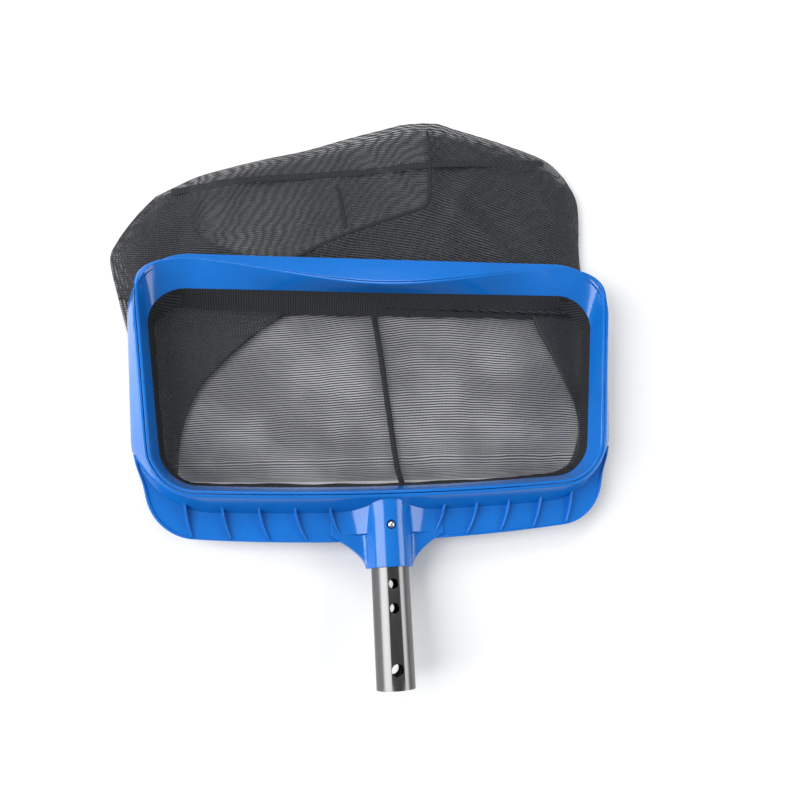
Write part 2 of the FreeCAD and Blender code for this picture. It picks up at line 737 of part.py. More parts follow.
def bag_outline(name, height, inset):
    """Plan of the bag as it lies: under the frame, and spread past the leading edge."""
    half, far = size("bag_half_width") - inset, size("bag_far_reach") - inset
    low = -(size("mouth_low_reach") - inset)
    right = [
        (half - size("bag_near_narrowing"), low),
        (half - size("bag_near_taper"), low + size("bag_near_taper_length")),
        (half, size("lip_reach")),
        (half - size("bag_side_narrowing"), far - size("bag_side_reach")),
        (half - size("bag_corner_narrowing"), far - size("bag_corner_reach")),
        (half - size("bag_end_narrowing"), far),
    ]
    left = [(-x, y) for x, y in reversed(right)]
    sketch = corner_outline(name, right + left)
    bind(sketch, "Placement.Base.z", height)
    return sketch


def mesh_bag():
    """Flattened bag: a hollow that opens upwards at the mouth and runs on past the leading edge."""
    mesh = size("mesh_thickness")
    outside = extrusion("bag_outside", bag_outline("bag_plan", NOTHING, NOTHING), size("bag_height"))
    neck = extrusion("bag_neck", throat("bag_neck_plan", size("neck_width"), NOTHING), BACK)
    inner_plan = bag_outline("bag_inner_plan", mesh, mesh)
    inside = extrusion("bag_inside", inner_plan, size("bag_height") - mesh * 2)
    way_in_plan = throat("bag_way_in_plan", size("way_in_clearance"), mesh)
    way_in = extrusion("bag_way_in", way_in_plan, BACK)
    hollowed = cut("bag_hollowed", fused("bag_solid", [outside, neck]), inside)
    return cut("mesh_bag", hollowed, way_in)


def cord_outline(name, height, offset):
    """Route of the bead cord outside the throat, moved outwards by an offset."""
    return rounded_outline(
        name,
        height,
        size("mouth_low_half") - size("taper_side") + size("cord_offset") + offset,
        size("mouth_high_half") - size("throat_narrowing") + size("cord_offset") + offset,
        -(size("mouth_low_reach") - size("taper_low") + size("cord_offset") + offset),
        size("throat_high_reach") + size("cord_high_offset") + offset,
        size("throat_radius") + size("cord_offset") + offset,
        size("throat_radius") + size("cord_offset") + offset,
    )


def bag_hem_band():
    """Binding sewn round the bag's mouth, flat between the neck and the bead cord."""
    reach = size("cord_diameter") * 0.5 + size("hem_margin")
    band = extrusion("hem_plan_solid", cord_outline("hem_plan", BACK, reach), size("hem_thickness"))
    inner_edge = mouth_form("hem_inner_edge", size("ring_wall") + size("ring_gap"))
    return cut("bag_hem_band", band, inner_edge)


def hem_cord():
    """Bead cord that the ring traps, one closed loop."""
    height = BACK + size("hem_thickness") + size("cord_gap") + size("cord_diameter") * 0.5
    route = cord_outline("hem_cord_route", height, NOTHING)
    radius = size("cord_diameter") * 0.5
    section = doc.addObject("Sketcher::SketchObject", "hem_cord_section")
    low = size("mouth_low_reach") - size("taper_low") + size("cord_offset")
    start = FreeCAD.Vector(0, -low.value, height.value)
    section.Placement = FreeCAD.Placement(start, FreeCAD.Rotation(FreeCAD.Vector(0, 1, 0), 90))
    add_circle(section, radius)
    cord = doc.addObject("Part::Sweep", "hem_cord")
    cord.Sections = [section]
    cord.Spine = (route, [f"Edge{i + 1}" for i in range(8)])
    cord.Solid = True
    cord.Frenet = False
    return cord


def seam(name, start, end, height):
    """Flat tape between two places on the mesh, given by the names that their sizes start with."""
    first, last = (
        FreeCAD.Vector(size(place + "_x").value, size(place + "_y").value, height.value)
        for place in (start, end)
    )
    run = last - first
    turn = FreeCAD.Rotation(FreeCAD.Vector(1, 0, 0), run)
    side = turn.multVec(FreeCAD.Vector(0, size("seam_width").value / 2, 0))
    placement = FreeCAD.Placement(first - side, turn)
    return block(name, run.Length, size("seam_width"), size("seam_thickness"), placement)


# ---------------------------------------------------------------------------------------------

PARTS = [
    frame_shell(),
    net_clamp_ring(),
    handle_tube(),
    snap_clip(),
    button("front_button", False),
    button("rear_button", True),
    mesh_bag(),
    bag_hem_band(),
    hem_cord(),
    seam("bag_centre_seam", "centre_seam_low", "centre_seam_high", size("mesh_thickness")),
    seam("bag_end_seam", "end_seam_left", "end_seam_right", size("bag_height")),
]
doc.recompute()

faults = [thing.Name for thing in doc.Objects if "Invalid" in thing.State or "Error" in thing.State]
for part in PARTS:
    part.Label = part.Name
    if part.Shape.isNull() or not part.Shape.isValid():
        faults.append(part.Name + " shape")
if faults:
    raise RuntimeError("not built: " + ", ".join(faults))

os.makedirs("parts", exist_ok=True)
for part in PARTS:
    part.Shape.exportStep(f"parts/{part.Label}.step")
    box = part.Shape.BoundBox
    print(
        f"{part.Label}: {len(part.Shape.Solids)} solid, {part.Shape.Volume / 1000:.2f} cm3,"
        f" x {box.XMin:.1f}..{box.XMax:.1f} y {box.YMin:.1f}..{box.YMax:.1f} z {box.ZMin:.1f}..{box.ZMax:.1f}"
    )
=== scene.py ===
import math
from functools import partialmethod

import bmesh
import bpy
from bpy.props import FloatProperty, FloatVectorProperty, IntProperty, PointerProperty
from mathutils import Matrix, Vector, noise


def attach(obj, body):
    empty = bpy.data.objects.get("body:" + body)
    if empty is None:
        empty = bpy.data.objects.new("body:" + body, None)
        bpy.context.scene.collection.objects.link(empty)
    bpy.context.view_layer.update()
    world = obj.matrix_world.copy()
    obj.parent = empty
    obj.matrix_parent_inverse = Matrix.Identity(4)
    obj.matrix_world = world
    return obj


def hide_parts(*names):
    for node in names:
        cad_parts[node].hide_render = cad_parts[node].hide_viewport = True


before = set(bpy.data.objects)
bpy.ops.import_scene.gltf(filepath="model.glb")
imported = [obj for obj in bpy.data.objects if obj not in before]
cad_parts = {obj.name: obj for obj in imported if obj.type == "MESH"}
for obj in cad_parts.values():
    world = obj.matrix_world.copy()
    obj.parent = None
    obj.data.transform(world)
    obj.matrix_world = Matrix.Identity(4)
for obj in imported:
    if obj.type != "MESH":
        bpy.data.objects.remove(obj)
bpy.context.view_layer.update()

bl_info = {
    "name": "Leaf skimmer net",
    "version": (1, 0, 0),
    "blender": (4, 5, 0),
    "location": "View3D > Sidebar > Leaf Net",
    "description": "Builds a pool leaf rake round its packed frame: moulded rim, handle, clip and mesh bag",
    "category": "Object",
}

MM = 0.001
BODY = "net_frame"


def mm(x, y, z=0.0):
    """A point given in millimetres."""
    return Vector((x * MM, y * MM, z * MM))


# Sizes and colours


def length(name, description, size):
    """Property for a length, given in millimetres."""
    return FloatProperty(name=name, description=description, default=size * MM, unit="LENGTH")


def angle(name, description, size):
    """Property for an angle, given in degrees."""
    return FloatProperty(name=name, description=description, default=math.radians(size), subtype="ANGLE")


def colour(name, description, shade):
    """Property for a colour."""
    return FloatVectorProperty(name=name, description=description, default=shade, subtype="COLOR")


class RimSizes(bpy.types.PropertyGroup):
    back_height: length("Back height", "Open back of the rim above the floor", 18)
    crest_height: length("Crest height", "Top of the rim above the floor", 39)
    lip_height: length("Lip height", "Leading edge above the floor", 26)
    lip_reach: length("Lip reach", "Leading edge from the mouth's middle", 109.5)
    lip_slope: angle("Lip slope", "How steeply the crescent lip leans", 26.6)
    ring_wall: length("Ring wall", "Wall of the clamp ring", 2.2)
    parting_gap: length("Parting gap", "Gap between ring and shell", 0.7)
    shell_wall: length("Shell wall", "Wall of the moulded shell", 3.0)
    bow: length("Bow", "How far the handle side bows out at its middle", 1.5)
    bow_radius: length("Bow radius", "Curve of the bowed handle side", 2530)
    flange_edge: length("Flange edge", "Flange's edge from the mouth's middle", 134)
    flange_bow_radius: length("Flange bow radius", "Curve of the flange's edge", 1600)
    border_width: length("Border width", "Raised border along the flange's edge", 2.4)
    rib_count: IntProperty(name="Ribs", description="Ribs on each side of the socket", default=5, min=1)


class HandleSizes(bpy.types.PropertyGroup):
    bend: angle("Bend", "How far the handle rises from the rim's plane", 8)
    root_reach: length("Root reach", "Start of the handle's line from the mouth's middle", 96.4)
    root_height: length("Root height", "Start of the handle's line above the floor", 17.8)
    tube_start: length("Tube start", "Inner end of the tube along its line", 13.8)
    tube_end: length("Tube end", "Free end of the tube along its line", 152.1)
    socket_length: length("Socket length", "End of the socket along its line", 59.5)
    tube_radius: length("Tube radius", "Outside of the handle tube", 15.5)
    tube_wall: length("Tube wall", "Wall of the handle tube", 1.5)
    button_radius: length("Button radius", "Snap button", 3.15)


class NetSizes(bpy.types.PropertyGroup):
    row_pitch: length("Row pitch", "Thread rows of the mesh", 2.1)
    column_pitch: length("Column pitch", "Thread columns of the mesh", 1.15)
    flat_width: length("Bag width", "Flat width of the bag's cloth, round the mouth", 1090)
    flat_length: length("Bag depth", "Flat length of the bag's cloth", 290)


class Finishes(bpy.types.PropertyGroup):
    plastic: colour("Plastic", "Glossy blue plastic", (0.004, 0.143, 0.53))
    tube: colour("Tube", "Dark polished aluminium", (0.145, 0.143, 0.145))
    thread: colour("Thread", "Mesh thread", (0.022, 0.024, 0.028))
    binding: colour("Binding", "Hem and seam tape", (0.006, 0.0065, 0.0085))


# Materials


class Value:
    """A socket that takes part in sums: an expression on values adds the Math nodes that work it out."""

    def __init__(self, paint, socket):
        self.paint = paint
        self.socket = socket

    def sum(self, operation, *others):
        return self.paint.node("ShaderNodeMath", {"operation": operation}, dict(enumerate((self, *others))))

    def __rsub__(self, other):
        return self * -1.0 + other

    __add__ = __radd__ = partialmethod(sum, "ADD")
    __mul__ = __rmul__ = partialmethod(sum, "MULTIPLY")
    __sub__ = partialmethod(sum, "SUBTRACT")
    __truediv__ = partialmethod(sum, "DIVIDE")
    fraction = partialmethod(sum, "FRACT")
    size = partialmethod(sum, "ABSOLUTE")

    def band(self, low, high):
        """0 below low, 1 above high, and a smooth step between."""
        return self.paint.node(
            "ShaderNodeMapRange",
            {"interpolation_type": "SMOOTHSTEP"},
            {"Value": self, "From Min": low, "From Max": high},
        )


class Paint:
    """A material under construction."""

    def __init__(self, name):
        self.material = bpy.data.materials.new(name)
        self.material.use_nodes = True
        self.tree = self.material.node_tree
        self.tree.nodes.clear()

    def node(self, kind, settings=None, inputs=None, output=0):
        made = self.tree.nodes.new(kind)
        for key, setting in (settings or {}).items():
            setattr(made, key, setting)
        for key, given in (inputs or {}).items():
            if isinstance(given, Value):
                self.tree.links.new(given.socket, made.inputs[key])
            else:
                made.inputs[key].default_value = given
        return Value(self, made.outputs[output]) if made.outputs else None

    def place(self, scale=(1, 1, 1), turn=(0, 0, 0)):
        """Place on the object, in metres times a scale."""
        spot = self.node("ShaderNodeTexCoord", output="Object")
        return self.node("ShaderNodeMapping", {}, {"Vector": spot, "Rotation": turn, "Scale": scale})

    def cloth(self):
        """Place on the flat cloth, in metres across and along it."""
        return self.node("ShaderNodeUVMap", {"uv_map": "cloth"})

    def split(self, vector):
        parts = self.node("ShaderNodeSeparateXYZ", {}, {0: vector})
        outputs = parts.socket.node.outputs
        return [Value(self, outputs[i]) for i in range(3)]

    def speckle(self, vector, scale, detail=2.0, roughness=0.5):
        inputs = {"Vector": vector, "Scale": scale, "Detail": detail, "Roughness": roughness}
        return self.node("ShaderNodeTexNoise", {}, inputs)

    def mixed(self, share, low, high):
        """Colour between low and high, by the Mix node's colour sockets: 6 and 7 in, 2 out."""
        first, second = (end if isinstance(end, Value) else (*end, 1) for end in (low, high))
        return self.node("ShaderNodeMix", {"data_type": "RGBA"}, {"Factor": share, 6: first, 7: second}, 2)

    def bump(self, height, distance, strength=1.0):
        inputs = {"Height": height, "Distance": distance, "Strength": strength}
        return self.node("ShaderNodeBump", {}, inputs)

    def finish(self, inputs):
        shader = self.node("ShaderNodeBsdfPrincipled", {}, inputs)
        self.node("ShaderNodeOutputMaterial", {}, {"Surface": shader})
        return self.material


def scaled(colour, share):
    return tuple(c * share for c in colour)


def plastic_material(colour):
    """Glossy moulded plastic: faint orange peel, slow colour drift and rubbed patches."""
    paint = Paint("blue_plastic")
    spot = paint.place()
    drift = paint.speckle(spot, 14.0, 3.0)
    peel = paint.speckle(spot, 420.0, 2.0)
    rubbed = paint.speckle(paint.place((1.0, 0.35, 1.0)), 130.0, 4.0, 0.6).band(0.58, 0.74)
    tone = paint.mixed(drift.band(0.35, 0.65), scaled(colour, 0.93), scaled(colour, 1.06))
    base = paint.mixed(rubbed * 0.03, tone, (0.10, 0.26, 0.70))
    return paint.finish({
        "Base Color": base,
        "Roughness": drift * 0.05 + rubbed * 0.03 + 0.13,
        "Normal": paint.bump(peel, 0.00002, 0.35),
        "IOR": 1.49,
    })


def tube_material(colour):
    """Drawn aluminium: fine lines along the tube, a soft polish and a few scuffs."""
    paint = Paint("tube_metal")
    bend = bpy.context.scene.leaf_handle.bend
    along = paint.place((500.0, 12.0, 500.0), (bend, 0, 0))
    grain = paint.speckle(along, 1.0, 3.0, 0.65)
    scuffs = paint.speckle(paint.place((1, 0.5, 1)), 160.0, 5.0, 0.6).band(0.60, 0.72)
    tone = paint.mixed(grain, scaled(colour, 0.82), scaled(colour, 1.12))
    base = paint.mixed(scuffs * 0.12, tone, scaled(colour, 2.2))
    return paint.finish({
        "Base Color": base,
        "Metallic": 1.0,
        "Roughness": grain * 0.10 + scuffs * 0.08 + 0.24,
        "Normal": paint.bump(grain, 0.00002, 0.25),
    })


def steel_material(name, colour, rough, scale):
    """Bright steel with faint brushed marks."""
    paint = Paint(name)
    marks = paint.speckle(paint.place((1.0, 6.0, 1.0)), scale, 3.0, 0.6)
    tone = paint.mixed(marks, scaled(colour, 0.85), scaled(colour, 1.1))
    return paint.finish({
        "Base Color": tone,
        "Metallic": 1.0,
        "Roughness": marks * 0.1 + rough,
        "Normal": paint.bump(marks, 0.00001, 0.3),
    })


def mesh_material(colour, row_pitch, column_pitch):
    """Open knitted mesh: thick rows, thin columns, and gaps that show what lies below, with a painted
    highlight and glints on the thread crowns, painted shade on their flanks, and patches of painted shade.
    """
    paint = Paint("mesh")
    spot = paint.cloth()
    across, along, _ = paint.split(spot)
    wander = paint.speckle(spot, 26.0, 3.0) - 0.5
    rows = ((along + wander * 0.0030) / row_pitch).fraction() - 0.5
    columns = ((across + wander * 0.0010) / column_pitch).fraction() - 0.5
    row_thread = 1.0 - rows.size().band(0.17, 0.33)
    column_thread = 1.0 - columns.size().band(0.08, 0.30)
    # Painted shade: slow patches where the mesh is less open, so it looks darker there.
    shade_patches = paint.speckle(spot, 15.0, 3.0)
    gap = (1.0 - row_thread * 0.97) * (1.0 - column_thread * 0.38)
    closed = 1.0 - gap * (shade_patches.band(0.35, 0.65) * 0.28 + 0.72)
    # Painted glints: a fine speckle that lightens the threads here and there.
    glint_speckle = paint.speckle(spot, 700.0, 2.0)
    # Painted highlight on the crowns of the row threads.
    crown = 1.0 - rows.size().band(0.0, 0.16)
    lit = crown * 0.6 + glint_speckle.band(0.4, 0.7) * 0.4
    # Painted light and shade: crowns and glints lighter, thread flanks darker.
    tone = paint.mixed(lit, scaled(colour, 0.3), scaled(colour, 3.2))
    height = row_thread + column_thread * 0.5
    return paint.finish({
        "Base Color": tone,
        "Roughness": 0.55,
        "Alpha": closed,
        "Normal": paint.bump(height, 0.0003, 0.7),
    })


def binding_material(colour):
    """Ribbed tape: fine raised cords across its width, painted lighter on their tops as a highlight, with
    random fuzz.
    """
    paint = Paint("binding")
    spot = paint.cloth()
    across, along, _ = paint.split(spot)
    ribs = (across / 0.0021).fraction() - 0.5
    rib = 1.0 - ribs.size().band(0.12, 0.45)
    weave = ((along / 0.0007).fraction() - 0.5).size() * 2.0
    fuzz = paint.speckle(spot, 900.0, 3.0)
    # Painted highlight: the raised cords are lighter than the grooves between them. The fuzz is random
    # tone.
    shade = rib * 0.65 + fuzz * 0.35
    tone = paint.mixed(shade, scaled(colour, 0.5), scaled(colour, 3.2))
    return paint.finish({
        "Base Color": tone,
        "Roughness": 0.75,
        "Normal": paint.bump(rib + weave * 0.15, 0.0006, 0.9),
    })


def cord_material():
    """Braided cord: two sets of slanting strands."""
    paint = Paint("cord")
    x, y, z = paint.split(paint.place())
    strand = 1.6 * MM
    one = ((x + y + z) / strand).fraction() - 0.5
    other = ((x - y + z) / strand).fraction() - 0.5
    braid = one.size() + other.size()
    tone = paint.mixed(braid, (0.018, 0.018, 0.02), (0.09, 0.09, 0.095))
    return paint.finish({
        "Base Color": tone,
        "Roughness": 0.8,
        "Normal": paint.bump(braid, 0.0004, 0.8),
    })


# Working with pieces


def lone(piece):
    """Select one piece only, in object mode."""
    if bpy.context.mode != "OBJECT":
        bpy.ops.object.mode_set(mode="OBJECT")
    bpy.ops.object.select_all(action="DESELECT")
    piece.select_set(True)
    bpy.context.view_layer.objects.active = piece


def start(name):
    """Name the primitive that was just added."""
    piece = bpy.context.object
    piece.name = name
    piece.data.name = name
    return piece


def settle(piece):
    """Put the object's origin at the frame's origin, unturned and unscaled."""
    lone(piece)
    bpy.ops.object.transform_apply(location=True, rotation=True, scale=True)


def mend(piece, smooth=math.radians(35)):
    """Merge doubles, point the faces outwards and shade the piece."""
    lone(piece)
    bpy.ops.object.mode_set(mode="EDIT")
    bpy.ops.mesh.select_all(action="SELECT")
    bpy.ops.mesh.remove_doubles(threshold=1e-6)
    bpy.ops.mesh.dissolve_degenerate(threshold=1e-7)
    bpy.ops.mesh.normals_make_consistent(inside=False)
    bpy.ops.object.mode_set(mode="OBJECT")
    bpy.ops.object.shade_smooth_by_angle(angle=smooth)


def apply(piece, kind, **settings):
    """Add a modifier and apply it."""
    lone(piece)
    bpy.ops.object.modifier_add(type=kind)
    modifier = piece.modifiers[-1]
    for key, setting in settings.items():
        setattr(modifier, key, setting)
    bpy.ops.object.modifier_apply(modifier=modifier.name)


def carve(piece, cutter, operation="DIFFERENCE"):
    """Cut one piece with another, and throw the cutter away."""
    settle(cutter)
    apply(piece, "BOOLEAN", operation=operation, solver="EXACT", object=cutter)
    lone(cutter)
    bpy.ops.object.delete()


def swept(name, rows, columns, place):
    """Grid laid over a form: place(row, column) gives each point, and points that meet are merged."""
    bpy.ops.object.select_all(action="DESELECT")
    bpy.ops.mesh.primitive_grid_add(x_subdivisions=columns, y_subdivisions=rows, size=1)
    piece = start(name)
    for vertex in piece.data.vertices:
        column = round((vertex.co.x + 0.5) * columns)
        row = round((vertex.co.y + 0.5) * rows)
        vertex.co = place(row, column)
    mend(piece)
    return piece


def hoop(name, sections):
    """A closed ring of closed sections, given in millimetres."""
    rows, columns = len(sections), len(sections[0])
    return swept(name, rows, columns, lambda row, column: sections[row % rows][column % columns] * MM)


def join(pieces, name):
    """Make one piece of several."""
    lone(pieces[0])
    for piece in pieces:
        piece.select_set(True)
    bpy.ops.object.join()
    return start(name)


def dressed(piece, material):
    """Give a piece one material."""
    piece.data.materials.clear()
    piece.data.materials.append(material)


def finished(piece, material, nodes, body=BODY):
    """Give a piece its material, the body that it rides and the CAD nodes that it replaces."""
    dressed(piece, material)
    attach(piece, body)
    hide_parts(*nodes)
    return piece


def softened(points, radii, steps=4):
    """Corner points of a section, each rounded by its radius into the same number of points."""
    result = []
    count = len(points)
    for i, (point, radius) in enumerate(zip(points, radii)):
        following = points[(i + 1) % count]
        before = points[i - 1] - point
        after = following - point
        longest = after.length * 0.45
        first = point + before.normalized() * min(radius, before.length * 0.45)
        last = point + after.normalized() * min(radius, longest)
        for step in range(steps + 1):
            t = step / steps
            result.append(first * (1 - t) ** 2 + point * 2 * t * (1 - t) + last * t * t)
        far = following + (point - following).normalized() * min(radii[(i + 1) % count], longest)
        result += [last.lerp(far, share) for share in (0.06, 0.5)]
    return result


def blended(low, high, value):
    """0 below low, 1 above high, smooth between."""
    t = min(1.0, max(0.0, (value - low) / (high - low)))
    return t * t * (3 - 2 * t)


# The rim's outlines


BOTTOM_STEPS = 26
LOW_CORNER_STEPS = 12
SIDE_STEPS = 14
HIGH_CORNER_STEPS = 20
TOP_STEPS = 34


def outline(low_half, high_half, low_y, high_y, low_radius, high_radius, dip=None):
    """Points round a mouth outline in millimetres, from the middle of its handle side to the right.

    Two slanted sides, four corners, and a leading side that is level or dips into the mouth;
    dip is (lowest point's y, radius). Each part has the same number of points in every outline.
    """
    low = Vector((low_half, low_y))
    high = Vector((high_half, high_y))
    run = (high - low).normalized()
    inward = Vector((-run.y, run.x))
    outward = -inward

    def centre(radius, level):
        base = low + inward * radius
        return base + run * ((level - base.y) / run.y)

    low_centre = centre(low_radius, low_y + low_radius)
    if dip:
        dip_centre = Vector((0, dip[0] + dip[1]))
        base = low + inward * high_radius
        gap = base - dip_centre
        half = gap.dot(run)
        rest = gap.dot(gap) - (dip[1] + high_radius) ** 2
        high_centre = base + run * (-half - math.sqrt(half * half - rest))
        toward = (dip_centre - high_centre).normalized()
        turn_end = math.atan2(toward.y, toward.x)
    else:
        high_centre = centre(high_radius, high_y - high_radius)
        turn_end = math.pi / 2
    turn_start = math.atan2(outward.y, outward.x)

    def on_arc(middle, radius, start_angle, end_angle, steps):
        for i in range(steps):
            angle = start_angle + (end_angle - start_angle) * i / steps
            yield middle + Vector((math.cos(angle), math.sin(angle))) * radius

    def on_line(first, last, steps):
        for i in range(steps):
            yield first.lerp(last, i / steps)

    low_start = low_centre + Vector((0, -low_radius))
    side_start = low_centre + outward * low_radius
    side_end = high_centre + outward * high_radius
    top_start = high_centre + Vector((math.cos(turn_end), math.sin(turn_end))) * high_radius
    right = list(on_line(Vector((0, low_y)), low_start, BOTTOM_STEPS))
    right += on_arc(low_centre, low_radius, -math.pi / 2, turn_start, LOW_CORNER_STEPS)
    right += on_line(side_start, side_end, SIDE_STEPS)
    right += on_arc(high_centre, high_radius, turn_start, turn_end, HIGH_CORNER_STEPS)
    if dip:
        first = math.atan2(top_start.y - dip_centre.y, top_start.x)
        right += on_arc(dip_centre, dip[1], first, -math.pi / 2, TOP_STEPS)
        right.append(dip_centre + Vector((0, -dip[1])))
    else:
        right += on_line(top_start, Vector((0, high_y)), TOP_STEPS)
        right.append(Vector((0, high_y)))
    left = [Vector((-p.x, p.y)) for p in reversed(right[1:-1])]
    return right + left


def rim_bow(point):
    """Bow the handle side of an outline outwards."""
    rim = bpy.context.scene.leaf_rim
    share = blended(-45, -78, point.y) if point.y < -45 else 0.0
    rise = point.x ** 2 / (2 * rim.bow_radius / MM) - rim.bow / MM
    return Vector((point.x, point.y + rise * share))


def throat(offset):
    """Foot of the clamp ring's inside, moved out by an offset."""
    sizes = (181 + offset, 198 + offset, -87 - offset, 80 + offset, 30 + offset, 30 + offset)
    return [rim_bow(p) for p in outline(*sizes)]


def crest(offset):
    """Crest of the clamp ring's inside, with the crescent's dip, moved out by an offset."""
    sizes = (184 + offset, 203 + offset, -91 - offset, 105 + offset, 34 + offset, 44 + offset)
    return [rim_bow(p) for p in outline(*sizes, (82.5 + offset, 260 - offset))]


def outer_back(inset):
    """Foot of the shell's outside, moved in by an inset."""
    sizes = (203 - inset, 214 - inset, inset - 110, 109.5 - inset, 65 - inset, 50 - inset)
    return [rim_bow(p) for p in outline(*sizes)]


def outer_crest(inset):
    """Crest of the shell's outside, moved in by an inset."""
    sizes = (189 - inset, 208 - inset, inset - 96, 106.5 - inset, 39 - inset, 46 - inset)
    return [rim_bow(p) for p in outline(*sizes)]


def ceiling(x, y):
    """Height of the rim's top: the level crest, and the lip's slope towards the leading edge."""
    rim = bpy.context.scene.leaf_rim
    level = rim.crest_height / MM
    slope = rim.lip_height / MM + (rim.lip_reach / MM - y) * math.tan(rim.lip_slope)
    blend = 4.5
    gap = max(-1.0, min(1.0, (slope - level) / (2 * blend)))
    return min(level, slope) - blend * 0.5 * (1 - abs(gap)) ** 2


def ruled(low, high, drop=0.0):
    """Where the straight line from the back to the crest meets the rim's top, less a drop."""
    rim = bpy.context.scene.leaf_rim
    back = rim.back_height / MM
    depth = rim.crest_height / MM - back
    start_share, end_share = 0.0, 1.0
    for _ in range(30):
        middle = (start_share + end_share) / 2
        spot = low.lerp(high, middle)
        if back + depth * middle > ceiling(spot.x, spot.y) - drop:
            end_share = middle
        else:
            start_share = middle
    spot = low.lerp(high, end_share)
    return Vector((spot.x, spot.y, back + depth * end_share))


# Blue plastic pieces


RIB_FIRST, RIB_PITCH = 49.0, 28.5
RIB_END_FIRST, RIB_END_PITCH = 37.5, 30.0


def make_rim_shell():
    """Flared wall, crescent lip and thin skin, open at the back, one closed section all round."""
    rim = bpy.context.scene.leaf_rim
    back = rim.back_height / MM
    seat_offset = (rim.ring_wall + rim.parting_gap) / MM
    wall = rim.shell_wall / MM
    seats = zip(throat(seat_offset), crest(seat_offset))
    outsides = zip(outer_back(0), outer_crest(0))
    insides = zip(outer_back(wall), outer_crest(wall))
    least = 0.4
    sections = []
    for seat_line, outside, inside in zip(seats, outsides, insides):
        seat = ruled(*seat_line)
        seat_under = ruled(*seat_line, wall)
        top = ruled(*outside)
        under = ruled(*inside, wall)
        foot = Vector((*outside[0], back))
        foot_in = Vector((*inside[0], back))
        outward = Vector((top.x - seat.x, top.y - seat.y, 0)).normalized()
        if (under - seat_under).dot(outward) < least:
            under = seat_under + outward * least - Vector((0, 0, least))
        corners = [seat, top, foot, foot_in, under, seat_under]
        sections.append(softened(corners, (0.3, 1.5, 0.5, 0.5, 1.2, 0.2)))
    return hoop("rim_shell", sections)


def make_clamp_ring():
    """Inner wall of the rim, which snaps into the shell along the parting line."""
    rim = bpy.context.scene.leaf_rim
    back = rim.back_height / MM
    wall = rim.ring_wall / MM
    insides = zip(throat(0), crest(0))
    outsides = zip(throat(wall), crest(wall))
    sections = []
    for inside, outside in zip(insides, outsides):
        inner = ruled(*inside)
        outer = ruled(*outside)
        foot_out = Vector((*outside[0], back))
        foot_in = Vector((*inside[0], back))
        sections.append(softened([inner, outer, foot_out, foot_in], (1.3, 0.3, 0.4, 0.7)))
    return hoop("clamp_ring", sections)


def flange_bow(point):
    """Bow the flange's edge in towards its ends."""
    rim = bpy.context.scene.leaf_rim
    share = blended(-60, -100, point.y) if point.y < -60 else 0.0
    return Vector((point.x, point.y + share * point.x ** 2 / (2 * rim.flange_bow_radius / MM)))


def make_flange():
    """Plate along the handle side with a raised border, from one side of the rim round to the other."""
    rim = bpy.context.scene.leaf_rim
    edge = rim.flange_edge / MM
    border = rim.border_width / MM
    outside = [flange_bow(p) for p in outline(187, 205, -edge, -51, 38, 6)]
    hidden = outer_back(4.2)
    outside_half = BOTTOM_STEPS + LOW_CORNER_STEPS + SIDE_STEPS
    hidden_half = BOTTOM_STEPS + LOW_CORNER_STEPS - 2
    stations = 150
    underside, plate, border_top = 18.0, 20.5, 21.6

    def between(points, index):
        low = math.floor(index)
        return points[low % len(points)].lerp(points[(low + 1) % len(points)], index - low)

    sections = []
    for i in range(stations + 1):
        share = 2 * i / stations - 1
        rim_spot = between(outside, share * outside_half)
        root = between(hidden, share * hidden_half)
        inward = (root - rim_spot).normalized()
        border_end = rim_spot + inward * border
        plate_start = rim_spot + inward * (border + 0.5)
        profile = (
            (rim_spot, underside), (rim_spot, border_top), (border_end, border_top),
            (plate_start, plate), (root, plate), (root, underside),
        )
        corners = [Vector((*spot, height)) for spot, height in profile]
        sections.append(softened(corners, (0.6, 0.7, 0.3, 0.3, 0.1, 0.1)))
    points = len(sections[0])
    rows = stations + 2

    def place(row, column):
        section = sections[min(max(row - 1, 0), stations)]
        if row in (0, rows):
            return sum(section, Vector()) / points * MM
        return section[column % points] * MM

    return swept("flange", rows, points, place)


def make_rib(side, index):
    """Thin curved rib from the flared wall to the flange's border, counted outwards from the socket."""
    rim = bpy.context.scene.leaf_rim
    start_x = RIB_FIRST + RIB_PITCH * index
    end_x = RIB_END_FIRST + RIB_END_PITCH * index
    start_y = -97.0 + (start_x / 184) ** 2 * 5
    bow = end_x ** 2 / (2 * rim.flange_bow_radius / MM)
    end_y = -rim.flange_edge / MM + bow + rim.border_width / MM - 0.6
    root = Vector((side * start_x, start_y))
    turn = Vector((side * (start_x - 0.5), (start_y + end_y) / 2 - 3))
    tip = Vector((side * end_x, end_y))
    steps = 16
    levels = 2
    foot, tip_height, root_rise = 18.5, 22.6, 5.6

    def spot(row, column):
        t = column / steps
        along = root * (1 - t) ** 2 + turn * 2 * t * (1 - t) + tip * t * t
        crown = tip_height + root_rise * (1 - t) ** 1.3
        height = foot + (crown - foot) * row / levels
        return mm(along.x, along.y, height)

    rib = swept("rib", levels, steps, spot)
    apply(rib, "SOLIDIFY", thickness=1.8 * MM, offset=0)
    apply(rib, "BEVEL", width=0.45 * MM, segments=3, limit_method="ANGLE", angle_limit=math.radians(60))
    mend(rib)
    return rib


def tube_point(across, along, up):
    """Point beside the handle's line, in millimetres: across it, along it and up out of it."""
    handle = bpy.context.scene.leaf_handle
    bend = handle.bend
    line = Vector((0, -math.cos(bend), math.sin(bend)))
    rise = Vector((0, math.sin(bend), math.cos(bend)))
    root = Vector((0, -handle.root_reach, handle.root_height)) / MM
    return (root + Vector((across, 0, 0)) + line * along + rise * up) * MM


